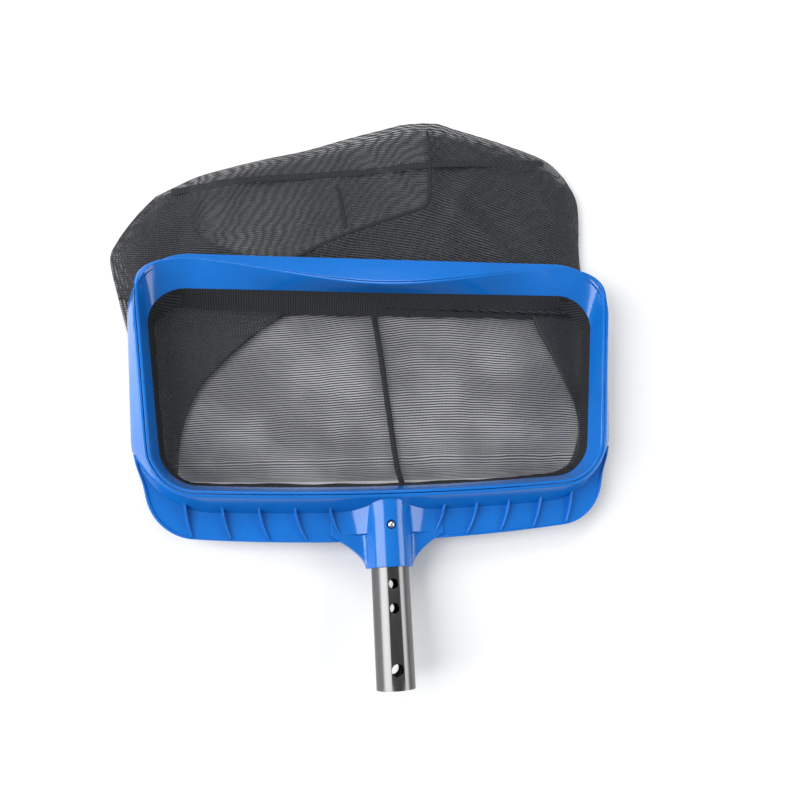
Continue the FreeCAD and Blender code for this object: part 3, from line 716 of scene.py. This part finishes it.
def cylinder(name, radius, depth, centre, turn, vertices, ends="NGON"):
    """Cylinder turned with the handle's line, sizes in millimetres."""
    bpy.ops.object.select_all(action="DESELECT")
    bpy.ops.mesh.primitive_cylinder_add(
        vertices=vertices,
        radius=radius * MM,
        depth=depth * MM,
        end_fill_type=ends,
        location=centre,
        rotation=(turn - bpy.context.scene.leaf_handle.bend, 0, 0),
    )
    piece = start(name)
    settle(piece)
    return piece


def handle_cylinder(name, radius, start_place, end_place, ends="NGON"):
    """Cylinder along the handle's line."""
    centre = tube_point(0, (start_place + end_place) / 2, 0)
    return cylinder(name, radius, end_place - start_place, centre, math.pi / 2, 128, ends)


def cross_cylinder(name, radius, place, low=-30.0, high=30.0, vertices=48):
    """Cylinder across the handle's line, upright through it."""
    centre = tube_point(0, place, (low + high) / 2)
    return cylinder(name, radius, high - low, centre, 0, vertices)


BUTTON_PLACE = 26.1
STEP_PLACE = 32.0
PLATE_TOP = 20.8
BORE_RADIUS, SOCKET_HOLE = 15.55, 3.9


def socket_half_width(along):
    """Half the socket's width: wide beside the flange, then swept in to the barrel."""
    if along < STEP_PLACE:
        return 47.0
    end = bpy.context.scene.leaf_handle.socket_length / MM
    share = max(0.0, (end - along) / (end - STEP_PLACE))
    return 18.9 + 29.5 * share ** 1.75


def socket_top(across, along):
    """Top of the socket: barrel, hollow skirts that run out to the flange, and a step at its edge."""
    handle = bpy.context.scene.leaf_handle
    flange = (PLATE_TOP - handle.root_height / MM) / math.cos(handle.bend)
    flange -= math.tan(handle.bend) * min(along, STEP_PLACE)
    x = abs(across)
    dome = math.sqrt(max(0.0, 18.6 ** 2 - x ** 2))
    past = blended(STEP_PLACE - 0.6, STEP_PLACE + 0.6, along)
    foot = flange - 1.3 * past
    skirt_start = 10.0
    skirt_end = 43.0 - 7.0 * past
    rise = 12.5 - 2.0 * past
    t = min(1.0, max(0.0, (x - skirt_start) / (skirt_end - skirt_start)))
    skirt = foot + rise * (1 - t) ** 2
    width = 1.6
    gap = max(-1.0, min(1.0, (dome - skirt) / (2 * width)))
    return max(dome, skirt) + width * 0.5 * (1 - abs(gap)) ** 2


def socket_under(across, along):
    """Underside of the socket: the barrel, thin wings beside it, and level on the floor."""
    handle = bpy.context.scene.leaf_handle
    clear = 0.05
    floor = (clear - handle.root_height / MM - math.sin(handle.bend) * along) / math.cos(handle.bend)
    dome = math.sqrt(max(0.0, 18.5 ** 2 - across ** 2))
    wing = 8.6 - 0.6 * blended(STEP_PLACE, handle.socket_length / MM, along)
    return max(floor, -max(dome, wing))


def make_socket():
    """Barrel, skirts and wings in one closed form, bored for the tube and drilled for the buttons."""
    handle = bpy.context.scene.leaf_handle
    end = handle.socket_length / MM
    places = [1.5, 1.6] + [1.6 + (STEP_PLACE - 2.4) * i / 12 for i in range(1, 12)]
    places += [STEP_PLACE - 0.8 + 0.2 * i for i in range(9)]
    places += [STEP_PLACE + 1.0 + (end - STEP_PLACE - 1.8) * i / 18 for i in range(1, 19)]
    places += [end - 0.55, end - 0.3, end - 0.1, end]
    across_steps = 64
    edge_steps = 6
    half_points = across_steps + edge_steps
    points = 2 * half_points
    rows = len(places) + 1
    rounding = 0.55

    def section_point(column, along):
        past = max(0.0, (along - end + rounding) / rounding)
        inset = rounding * (1 - math.sqrt(max(0.0, 1 - past ** 2)))
        half = socket_half_width(along) - inset
        below = column % points >= half_points
        column %= half_points
        side = -1 if below else 1
        if column < across_steps:
            across = side * half * (2 * column / across_steps - 1)
            if below:
                return across, socket_under(across, along) + inset
            return across, socket_top(across, along) - inset
        top, low = socket_top(half, along) - inset, socket_under(half, along) + inset
        first, last = (low, top) if below else (top, low)
        t = (column - across_steps) / edge_steps
        bulge = 0.7 * math.sin(math.pi * t)
        return side * (half + bulge), first + (last - first) * t

    def place(row, column):
        along = places[min(max(row - 1, 0), len(places) - 1)]
        if row in (0, rows):
            return tube_point(0, along, 0)
        across, up = section_point(column, along)
        return tube_point(across, along, up)

    piece = swept("socket", rows, points, place)
    carve(piece, handle_cylinder("bore", BORE_RADIUS, handle.tube_start / MM - 0.1, 90))
    carve(piece, cross_cylinder("button_holes", SOCKET_HOLE, BUTTON_PLACE))
    mend(piece, math.radians(40))
    return piece


# Handle pieces


# Radius and place along the handle's line: the buttons' hole, then the three cross holes.
TUBE_HOLES = ((3.5, BUTTON_PLACE), (4.0, 72.4), (4.0, 91.3), (5.0, 137.5))
BUTTON_FOOT, BUTTON_TOP, BUTTON_DOME = 13.02, 20.0, 2.9


def make_tube():
    """Tube with a button hole and three cross holes through both walls, edges broken."""
    handle = bpy.context.scene.leaf_handle
    tube = handle_cylinder(
        "tube", handle.tube_radius / MM, handle.tube_start / MM, handle.tube_end / MM, "NOTHING"
    )
    lone(tube)
    bpy.ops.object.mode_set(mode="EDIT")
    bpy.ops.mesh.select_all(action="SELECT")
    bpy.ops.mesh.normals_make_consistent(inside=False)
    bpy.ops.object.mode_set(mode="OBJECT")
    apply(tube, "SOLIDIFY", thickness=handle.tube_wall, offset=-1)
    mend(tube)
    for radius, place in TUBE_HOLES:
        carve(tube, cross_cylinder("hole", radius, place))
    apply(tube, "BEVEL", width=0.3 * MM, segments=2, limit_method="ANGLE", angle_limit=math.radians(40))
    mend(tube)
    return tube


def make_button(name, way):
    """Snap button: a plug with a domed end, out of the top or the underside."""
    radius = bpy.context.scene.leaf_handle.button_radius
    low, high = sorted((BUTTON_FOOT * way, BUTTON_TOP * way))
    button = cross_cylinder(name, radius / MM, BUTTON_PLACE, low, high, 40)
    top = tube_point(0, BUTTON_PLACE, BUTTON_TOP * way)
    lone(button)
    bpy.ops.object.mode_set(mode="EDIT")
    bpy.ops.mesh.select_mode(type="EDGE")
    bpy.ops.mesh.select_all(action="DESELECT")
    work = bmesh.from_edit_mesh(button.data)
    for edge in work.edges:
        edge.select = all((v.co - top).length < radius * 1.01 for v in edge.verts)
    work.select_flush_mode()
    bmesh.update_edit_mesh(button.data)
    bpy.ops.mesh.bevel(offset=BUTTON_DOME * MM, segments=8, profile=0.5, affect="EDGES")
    bpy.ops.object.mode_set(mode="OBJECT")
    mend(button, math.radians(50))
    return button


# The bag


def curve_point(points, share):
    """Point on a smooth line through points, at a share of its length."""
    lengths = [0.0]
    for a, b in zip(points, points[1:]):
        lengths.append(lengths[-1] + (b - a).length)
    at = min(max(share, 0.0), 1.0) * lengths[-1]
    i = 0
    while i < len(points) - 2 and lengths[i + 1] < at:
        i += 1
    t = (at - lengths[i]) / max(1e-9, lengths[i + 1] - lengths[i])
    before = points[max(i - 1, 0)]
    after = points[min(i + 2, len(points) - 1)]
    a, b = points[i], points[i + 1]
    slope_a = (b - before) * 0.5
    slope_b = (after - a) * 0.5
    return (
        a * (2 * t ** 3 - 3 * t ** 2 + 1)
        + slope_a * (t ** 3 - 2 * t ** 2 + t)
        + b * (3 * t ** 2 - 2 * t ** 3)
        + slope_b * (t ** 3 - t ** 2)
    )


def spots(*places):
    """Places as points."""
    return [Vector(p) for p in places]


FAR_END = spots(
    (-193, 166, 6), (-160, 185, 6), (-134, 195, 6), (-100, 206, 6), (-64, 216, 6), (-27, 229, 7),
    (10, 241, 8), (29, 247, 8), (58, 250, 8), (77, 246, 7), (126, 234, 6), (166, 220, 6), (185, 203, 6),
)
LEFT_SIDE = spots(
    (-176, -78, 12), (-186, -62, 4), (-196, -20, 3), (-206, 20, 3), (-215, 50, 4), (-222, 78, 6),
    (-228, 107, 8), (-223, 123, 8), (-209, 146, 7), (-193, 166, 6),
)
RIGHT_SIDE = spots(
    (180, -80, 12), (192, -62, 4), (199, -10, 3), (200, 50, 4), (197, 90, 6), (194, 125, 8),
    (196, 160, 8), (195, 182, 7), (185, 203, 6),
)
LEFT_FOLD = spots(
    (-171, -82, 5), (-170.7, -58, 4.5), (-167.6, -36, 4.5), (-162.3, -19, 4.5), (-153.9, -1, 4.5),
    (-139.7, 15.5, 4.5), (-122.5, 32, 4.5), (-103, 49, 4.5), (-78, 69.5, 5), (-92, 104, 7),
    (-150, 128, 8), (-161, 150, 8), (-160, 176, 8),
)
RIGHT_FOLD = spots(
    (156, -80, 5), (171, -73, 4.5), (180.9, -51, 4.5), (182.5, -31, 4.5), (177, -9.6, 4.5),
    (161.7, 26, 4.5), (145, 61, 5), (140, 90, 7), (165, 130, 8), (178, 190, 7),
)
THIRD_LAYER = spots(
    (-75, 112, 8), (-35, 133, 8), (5, 150, 8), (30, 159, 8), (46, 167, 8), (49, 195, 8), (50, 236, 8),
    (100, 234, 8), (150, 218, 7), (184, 196, 6),
)
CENTRE_SEAM = spots(
    (15, -87, 12), (14.5, -81, 5), (12, -70, 3.6), (6, -20, 3.2), (1, 25, 3.3), (-5, 66, 3.6),
    (-7, 90, 3.6),
)
# The three seams that lie on the upper panel, which gives them their height.
END_SEAM = ((-180, 168), (-120, 181), (-60, 190), (0, 198), (51, 205), (110, 211), (164, 215))
SLANTING_SEAM = (
    (-75, 112), (-35, 133), (5, 150), (30, 159), (46, 167), (49, 190), (50, 215), (49, 240),
)
SHORT_SEAM = ((-36, 182), (-33, 168), (-31, 154), (-29, 141))


def cloth_wave(x, y, amount):
    """Soft uneven rise of lying cloth, in millimetres."""
    slow = noise.noise(Vector((x / 70, y / 45, 0.3)))
    quick = noise.noise(Vector((x / 26, y / 17, 4.1)))
    return amount * (slow + 0.35 * quick)


def ridge(x, y, first, last, height, width):
    """Rise of a soft crease between two places."""
    a, b, p = Vector(first), Vector(last), Vector((x, y))
    run = b - a
    t = min(1.0, max(0.0, (p - a).dot(run) / run.length_squared))
    away = (p - a - run * t).length
    fade = math.sin(math.pi * min(1.0, max(0.0, 0.12 + 0.76 * t)))
    return height * fade * math.exp(-((away / width) ** 2))


# First and last place, height and width of each crease of the upper panel.
CREASES = (
    ((-120, 190), (-150, 120), 3.0, 8),
    ((-20, 225), (40, 170), 3.0, 7),
    ((-110, 150), (-40, 150), 2.6, 7),
    ((90, 200), (60, 130), 2.6, 8),
    ((-75, 112), (5, 152), 3.5, 7),
    ((5, 152), (48, 166), 3.0, 6),
    ((48, 166), (50, 240), 3.5, 8),
    ((50, 190), (128, 112), 3.5, 9),
    ((-160, 128), (-158, 180), 2.5, 5),
    ((-36, 180), (-29, 140), 1.6, 4),
    ((140, 220), (185, 130), 2.0, 9),
    ((-200, 120), (-130, 180), 2.5, 10),
)


def upper_height(x, y):
    """Height of the upper panel past the leading edge."""
    rise = 10.5 + cloth_wave(x, y, 3.4)
    for first, last, height, width in CREASES:
        rise += ridge(x, y, first, last, height, width)
    return rise


def on_upper_panel(line, lift):
    """Points of a line that lies on the upper panel, lifted off it."""
    return [Vector((x, y, upper_height(x, y) + lift)) for x, y in line]


def patch(bottom, top, left, right, a, b):
    """Point of a sheet stretched between four edges, a across and b along."""
    across = bottom(a).lerp(top(a), b) + left(b).lerp(right(b), a)
    corners = (bottom(0).lerp(bottom(1), a)).lerp(top(0).lerp(top(1), a), b)
    return across - corners


class Cloth:
    """A sheet under construction, from grids of points with their places on the flat cloth."""

    def __init__(self, name):
        self.mesh = bpy.data.meshes.new(name)
        self.work = bmesh.new()
        self.flat = self.work.loops.layers.uv.new("cloth")
        self.piece = bpy.data.objects.new(name, self.mesh)
        bpy.context.collection.objects.link(self.piece)

    def panel(self, rows, columns, place, flat):
        """Add a grid: place and flat give a point, in millimetres, and its place on the flat cloth.

        Both take how far across the panel and how far along it, from 0 to 1.
        """
        verts = [
            [self.work.verts.new(place(c / columns, r / rows) * MM) for c in range(columns + 1)]
            for r in range(rows + 1)
        ]
        for r in range(rows):
            for c in range(columns):
                around = ((r, c), (r, c + 1), (r + 1, c + 1), (r + 1, c))
                face = self.work.faces.new([verts[i][j] for i, j in around])
                face.smooth = True
                for loop, (i, j) in zip(face.loops, around):
                    loop[self.flat].uv = flat(j / columns, i / rows)

    def finish(self, merge=0.05 * MM):
        bmesh.ops.remove_doubles(self.work, verts=self.work.verts, dist=merge)
        self.work.to_mesh(self.mesh)
        self.work.free()
        return self.piece


def lower_panel_point(a, b):
    """Lower panel: down from the handle side of the mouth, and along the floor to the far end."""
    spot = patch(
        lambda t: Vector((-176 + 356 * t, -82 - 5 * math.sin(math.pi * t) ** 0.4, 12)),
        lambda t: curve_point(FAR_END, t),
        lambda t: curve_point(LEFT_SIDE, t),
        lambda t: curve_point(RIGHT_SIDE, t),
        a, b,
    )
    edge = min(a, 1 - a, (1 - b) * 2)
    inside = blended(0.0, 0.05, edge)
    drop = blended(0.0, 0.03, b)
    height = 2.1 + cloth_wave(spot.x, spot.y, 0.8) * 0.9
    spot.z = spot.z * (1 - drop * inside) + max(0.9, height) * drop * inside
    return spot


def upper_panel_point(a, b):
    """Upper panel: from the hem's lower edge, under the leading side of the rim, to the far end."""
    left_share, right_share = 0.60, 0.50
    left_start = curve_point(LEFT_SIDE, left_share)
    right_start = curve_point(RIGHT_SIDE, right_share)

    def under_rim(share):
        return Vector((left_start.x + (right_start.x - left_start.x) * share, 84, 5.5))

    first = Vector((-172 + 344 * a, 63, 4.2))
    under = 0.16
    if b < under:
        t = b / under
        spot = first.lerp(under_rim(a), t)
        spot.y -= 2.0 * math.sin(math.pi * t)
        spot.z -= 1.2 * math.sin(math.pi * t)
        return spot
    t = (b - under) / (1 - under)
    spot = patch(
        under_rim,
        lambda s: curve_point(FAR_END, s),
        lambda s: curve_point(LEFT_SIDE, left_share + (1 - left_share) * s),
        lambda s: curve_point(RIGHT_SIDE, right_share + (1 - right_share) * s),
        a, t,
    )
    edge = min(a, 1 - a, 1 - t)
    inside = blended(0.0, 0.06, edge)
    rise = blended(95, 122, spot.y)
    top = upper_height(spot.x, spot.y)
    lying = min(top, 9.0)
    spot.z = spot.z * (1 - inside) + (lying * (1 - rise) + top * rise) * inside
    return spot


def side_hem(side, q):
    """Foot of the hem band along one side of the mouth."""
    points = throat(0)
    start_at = BOTTOM_STEPS + LOW_CORNER_STEPS // 2
    end_at = BOTTOM_STEPS + LOW_CORNER_STEPS + SIDE_STEPS + HIGH_CORNER_STEPS // 2
    at = start_at + (end_at - start_at) * q
    i = int(at)
    spot = points[i].lerp(points[min(i + 1, len(points) - 1)], at - i)
    return Vector((side * (spot.x - 3.0), spot.y, 7.0))


def gusset_point(side, q, t):
    """Side panel: in from the side of the mouth to its fold, and back out to the bag's side below."""
    edge, crease = (LEFT_SIDE, LEFT_FOLD) if side < 0 else (RIGHT_SIDE, RIGHT_FOLD)
    fold = curve_point(crease, q)
    out = curve_point(edge, 0.02 + 0.96 * q)
    mouth_share = 0.62
    start_spot = side_hem(side, min(1.0, q / mouth_share))
    if q >= mouth_share:
        rest = (q - mouth_share) / (1 - mouth_share)
        start_spot = start_spot.lerp(curve_point(edge, 0.70 + 0.28 * rest), blended(0, 0.25, rest))
    if t < 0.5:
        s = t * 2
        spot = start_spot.lerp(fold, s)
        height = start_spot.z + (fold.z + 1.3 - start_spot.z) * blended(0, 0.35, s)
        spot.z = height + cloth_wave(spot.x, spot.y, 0.9) * math.sin(math.pi * s)
    else:
        s = (t - 0.5) * 2
        spot = fold.lerp(out, s)
        spot.z = fold.z - 1.2 * blended(0, 0.1, s) + (out.z - fold.z) * s * s
        spot.z += cloth_wave(spot.x, spot.y, 0.4) * math.sin(math.pi * s)
    spot.z = max(1.6, spot.z)
    return spot


def end_panel_point(a, b):
    """End panel, folded in between the other two: up to its slanting seam and the far end."""
    near = Vector((-80 + 270 * a, 104, 6.0))
    spot = near.lerp(curve_point(THIRD_LAYER, a), b)
    spot.z = 6.2 + cloth_wave(spot.x, spot.y, 0.8)
    return spot


def make_bag():
    """Bag of open mesh: lower and upper panels, a folded panel on each side, and the end panel."""
    cloth = Cloth("mesh_bag_sheet")
    cloth.panel(90, 96, lower_panel_point, lambda a, b: (0.36 * a, 0.33 * b))
    cloth.panel(70, 96, upper_panel_point, lambda a, b: (0.5 + 0.38 * a, 0.18 * b + 0.07 * a))
    for side in (-1, 1):
        cloth.panel(
            60, 40,
            lambda a, b, side=side: gusset_point(side, b, a),
            lambda a, b, side=side: (1.0 + side * 0.3 + 0.27 * b, 0.20 * a),
        )
    cloth.panel(30, 96, end_panel_point, lambda a, b: (1.5 + 0.38 * a, 0.11 * b))
    return cloth.finish()


def strip(name, points, width, thickness):
    """Tape along a smooth line, with a rounded section and a cloth map along and across it."""
    rows = 80
    around = 12

    def place(row, column):
        share = row / rows
        spot = curve_point(points, share)
        ahead = curve_point(points, min(1.0, share + 0.01)) - curve_point(points, max(0.0, share - 0.01))
        ahead.normalize()
        across = ahead.cross(Vector((0, 0, 1))).normalized()
        up = across.cross(ahead).normalized()
        wobble = 1 + 0.16 * noise.noise(Vector((spot.x / 9, spot.y / 9, 2.0)))
        if row in (0, rows):
            wobble = 0.0
        turn = math.tau * column / around
        side_way = across * (math.cos(turn) * width / 2 * wobble)
        up_way = up * (math.sin(turn) * thickness / 2 * wobble)
        lift = up * (0.5 * noise.noise(Vector((spot.x / 14, spot.y / 14, 7.0))))
        return (spot + side_way + up_way + lift) * MM

    piece = swept(name, rows, around, place)
    run = (points[-1] - points[0]).normalized()
    beside = Vector((-run.y, run.x, 0))
    map_cloth(piece, lambda spot: (spot.dot(run), spot.dot(beside)))
    return piece


def map_cloth(piece, flat):
    """Cloth map of a finished piece: flat(point) gives its place on the flat cloth."""
    layer = piece.data.uv_layers.get("cloth") or piece.data.uv_layers.new(name="cloth")
    for loop in piece.data.loops:
        layer.data[loop.index].uv = flat(piece.data.vertices[loop.vertex_index].co)


def make_hem_band():
    """Ribbed binding that hangs from the ring: sloped in at the leading side, steep elsewhere."""
    top = throat(0.6)
    count = len(top)
    high_z = 18.6
    half = 0.45
    sections = []
    for i, spot in enumerate(top):
        before, after = top[i - 1], top[(i + 1) % count]
        run = (after - before).normalized()
        inward = Vector((-run.y, run.x))
        lead = blended(48, 84, spot.y)
        lead *= 1 - 0.25 * blended(150, 195, abs(spot.x))
        droop = 2.9 + 15.0 * lead
        foot_z = 7.0 - 3.3 * lead
        wave = noise.noise(Vector((spot.x / 24, spot.y / 24, 1.0)))
        high = Vector((spot.x, spot.y, high_z))
        low = Vector((*(spot + inward * (droop + wave * 1.4)), foot_z))
        middle = high.lerp(low, 0.5) + Vector((0, 0, -1.0 + wave * 0.8))
        down = (low - high).normalized()
        side_way = Vector((run.x, run.y, 0)).cross(down).normalized()
        if side_way.z < 0:
            side_way = -side_way
        section = []
        for share in (0.0, 0.25, 0.5, 0.75, 1.0):
            bent = high * (1 - share) ** 2 + middle * 2 * share * (1 - share) + low * share ** 2
            section.append(bent)
        outside = [p + side_way * half for p in section]
        inside = [p - side_way * half for p in reversed(section)]
        sections.append(outside + inside)
    piece = hoop("hem_band", sections)
    side_start, side_end = 168 * MM, 78 * MM

    def flat(spot):
        beside = abs(spot.x) > side_start and abs(spot.y) < side_end
        return (spot.y if beside else spot.x, spot.z)

    map_cloth(piece, flat)
    return piece


# Operators


# Name, place, width and height, and power of each light. All of them face the origin.
LIGHTS = (
    ("key_light", (-1.65, 0.0, 1.25), (1.5, 1.9), 56),
    ("fill_light", (1.7, -0.2, 1.1), (1.2, 1.0), 18),
    ("top_light", (-0.3, 1.7, 1.5), (1.6, 0.9), 18),
)
SKY_COLOUR, SKY_STRENGTH = (0.93, 0.96, 1.0, 1), 0.30
CAMERA_PLACE = (-89.45, -97.34, 593.46)
CAMERA_RIGHT = (0.98442443, -0.0319874, 0.17287381)
CAMERA_FORWARD = (0.17566499, 0.13927355, -0.97454845)
LENS, SENSOR = 30.71, 36


class LEAF_OT_stage(bpy.types.Operator):
    """Pale floor, soft lights and the camera"""

    bl_idname = "leaf.stage"
    bl_label = "Stage"

    def execute(self, context):
        bpy.ops.object.select_all(action="DESELECT")
        bpy.ops.mesh.primitive_plane_add(size=8, location=(0, 0, -0.0004))
        floor = start("floor")
        paint = Paint("floor")
        drift = paint.speckle(paint.place(), 3.0, 2.0)
        tone = paint.mixed(drift, (0.86, 0.86, 0.86), (0.90, 0.90, 0.90))
        floor.data.materials.append(paint.finish({"Base Color": tone, "Roughness": 0.85}))
        world = bpy.data.worlds.new("studio")
        world.use_nodes = True
        sky = world.node_tree.nodes["Background"]
        sky.inputs["Color"].default_value = SKY_COLOUR
        sky.inputs["Strength"].default_value = SKY_STRENGTH
        context.scene.world = world
        context.scene.view_settings.view_transform = "Standard"
        for name, place, size, power in LIGHTS:
            light = bpy.data.lights.new(name, "AREA")
            light.shape = "RECTANGLE"
            light.size, light.size_y = size
            light.energy = power
            lamp = bpy.data.objects.new(name, light)
            context.collection.objects.link(lamp)
            lamp.location = place
            lamp.rotation_euler = (-Vector(place)).to_track_quat("-Z", "Y").to_euler()
        lens = bpy.data.cameras.new("camera")
        lens.sensor_width = SENSOR
        lens.lens = LENS
        lens.clip_start = 0.01
        camera = bpy.data.objects.new("camera", lens)
        context.collection.objects.link(camera)
        right, forward = Vector(CAMERA_RIGHT), Vector(CAMERA_FORWARD)
        turn = Matrix((right, right.cross(forward), -forward)).transposed()
        camera.matrix_world = Matrix.Translation(mm(*CAMERA_PLACE)) @ turn.to_4x4()
        context.scene.camera = camera
        return {"FINISHED"}


class LEAF_OT_frame(bpy.types.Operator):
    """Moulded rim with its flange, ribs, socket and clamp ring"""

    bl_idname = "leaf.frame"
    bl_label = "Frame"

    def execute(self, context):
        plastic = plastic_material(tuple(context.scene.leaf_finish.plastic))
        finished(make_rim_shell(), plastic, ("frame_shell",))
        flange = [make_flange()]
        for side in (-1, 1):
            for i in range(context.scene.leaf_rim.rib_count):
                flange.append(make_rib(side, i))
        finished(join(flange, "ribbed_flange"), plastic, ("frame_shell",))
        finished(make_socket(), plastic, ("frame_shell",))
        finished(make_clamp_ring(), plastic, ("net_clamp_ring",))
        return {"FINISHED"}


class LEAF_OT_handle(bpy.types.Operator):
    """Tube, snap buttons and spring clip"""

    bl_idname = "leaf.handle"
    bl_label = "Handle"

    def execute(self, context):
        metal = tube_material(tuple(context.scene.leaf_finish.tube))
        chrome = steel_material("button_metal", (0.78, 0.78, 0.79), 0.12, 500.0)
        spring = steel_material("spring_steel", (0.52, 0.52, 0.54), 0.25, 300.0)
        finished(make_tube(), metal, ("handle_tube",))
        for name, way in (("front_button", 1), ("rear_button", -1)):
            finished(make_button(name + "_dome", way), chrome, (name,), name)
        dressed(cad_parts["snap_clip"], spring)
        return {"FINISHED"}


class LEAF_OT_net(bpy.types.Operator):
    """Mesh bag with its hem, cord and seams"""

    bl_idname = "leaf.net"
    bl_label = "Net"

    def execute(self, context):
        net = context.scene.leaf_net
        finish = context.scene.leaf_finish
        mesh = mesh_material(tuple(finish.thread), net.row_pitch, net.column_pitch)
        tape = binding_material(tuple(finish.binding))
        bag = finished(make_bag(), mesh, ("mesh_bag",))
        hem = finished(make_hem_band(), tape, ("bag_hem_band",))
        seams = (
            ("centre_seam", CENTRE_SEAM, 5.0, 1.6, "bag_centre_seam"),
            ("end_seam", on_upper_panel(END_SEAM, 0.4), 6.0, 1.2, "bag_end_seam"),
            ("slanting_seam", on_upper_panel(SLANTING_SEAM, 0.3), 3.2, 1.2, "bag_end_seam"),
            ("short_seam", on_upper_panel(SHORT_SEAM, 0.3), 3.6, 1.2, "bag_end_seam"),
        )
        tapes = [
            finished(strip(name, line, width, thickness), tape, (node,))
            for name, line, width, thickness, node in seams
        ]
        dressed(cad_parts["hem_cord"], cord_material())
        return {"FINISHED"}


class LEAF_PT_panel(bpy.types.Panel):
    """Steps that build the net"""

    bl_idname = "LEAF_PT_panel"
    bl_label = "Leaf skimmer net"
    bl_space_type = "VIEW_3D"
    bl_region_type = "UI"
    bl_category = "Leaf Net"

    def draw(self, context):
        for step in STEPS:
            self.layout.operator(step.bl_idname)
        for group in SIZE_GROUPS:
            sizes = getattr(context.scene, group)
            box = self.layout.box()
            for key in sizes.__annotations__:
                box.prop(sizes, key)


STEPS = (LEAF_OT_stage, LEAF_OT_frame, LEAF_OT_handle, LEAF_OT_net)
SIZE_GROUPS = {
    "leaf_rim": RimSizes,
    "leaf_handle": HandleSizes,
    "leaf_net": NetSizes,
    "leaf_finish": Finishes,
}
CLASSES = (*SIZE_GROUPS.values(), *STEPS, LEAF_PT_panel)


def register():
    for kind in CLASSES:
        bpy.utils.register_class(kind)
    for name, group in SIZE_GROUPS.items():
        setattr(bpy.types.Scene, name, PointerProperty(type=group))


def unregister():
    for name in SIZE_GROUPS:
        delattr(bpy.types.Scene, name)
    for kind in reversed(CLASSES):
        bpy.utils.unregister_class(kind)


def main():
    register()
    bpy.ops.leaf.stage()
    bpy.ops.leaf.frame()
    bpy.ops.leaf.handle()
    bpy.ops.leaf.net()


if __name__ == "__main__":
    main()
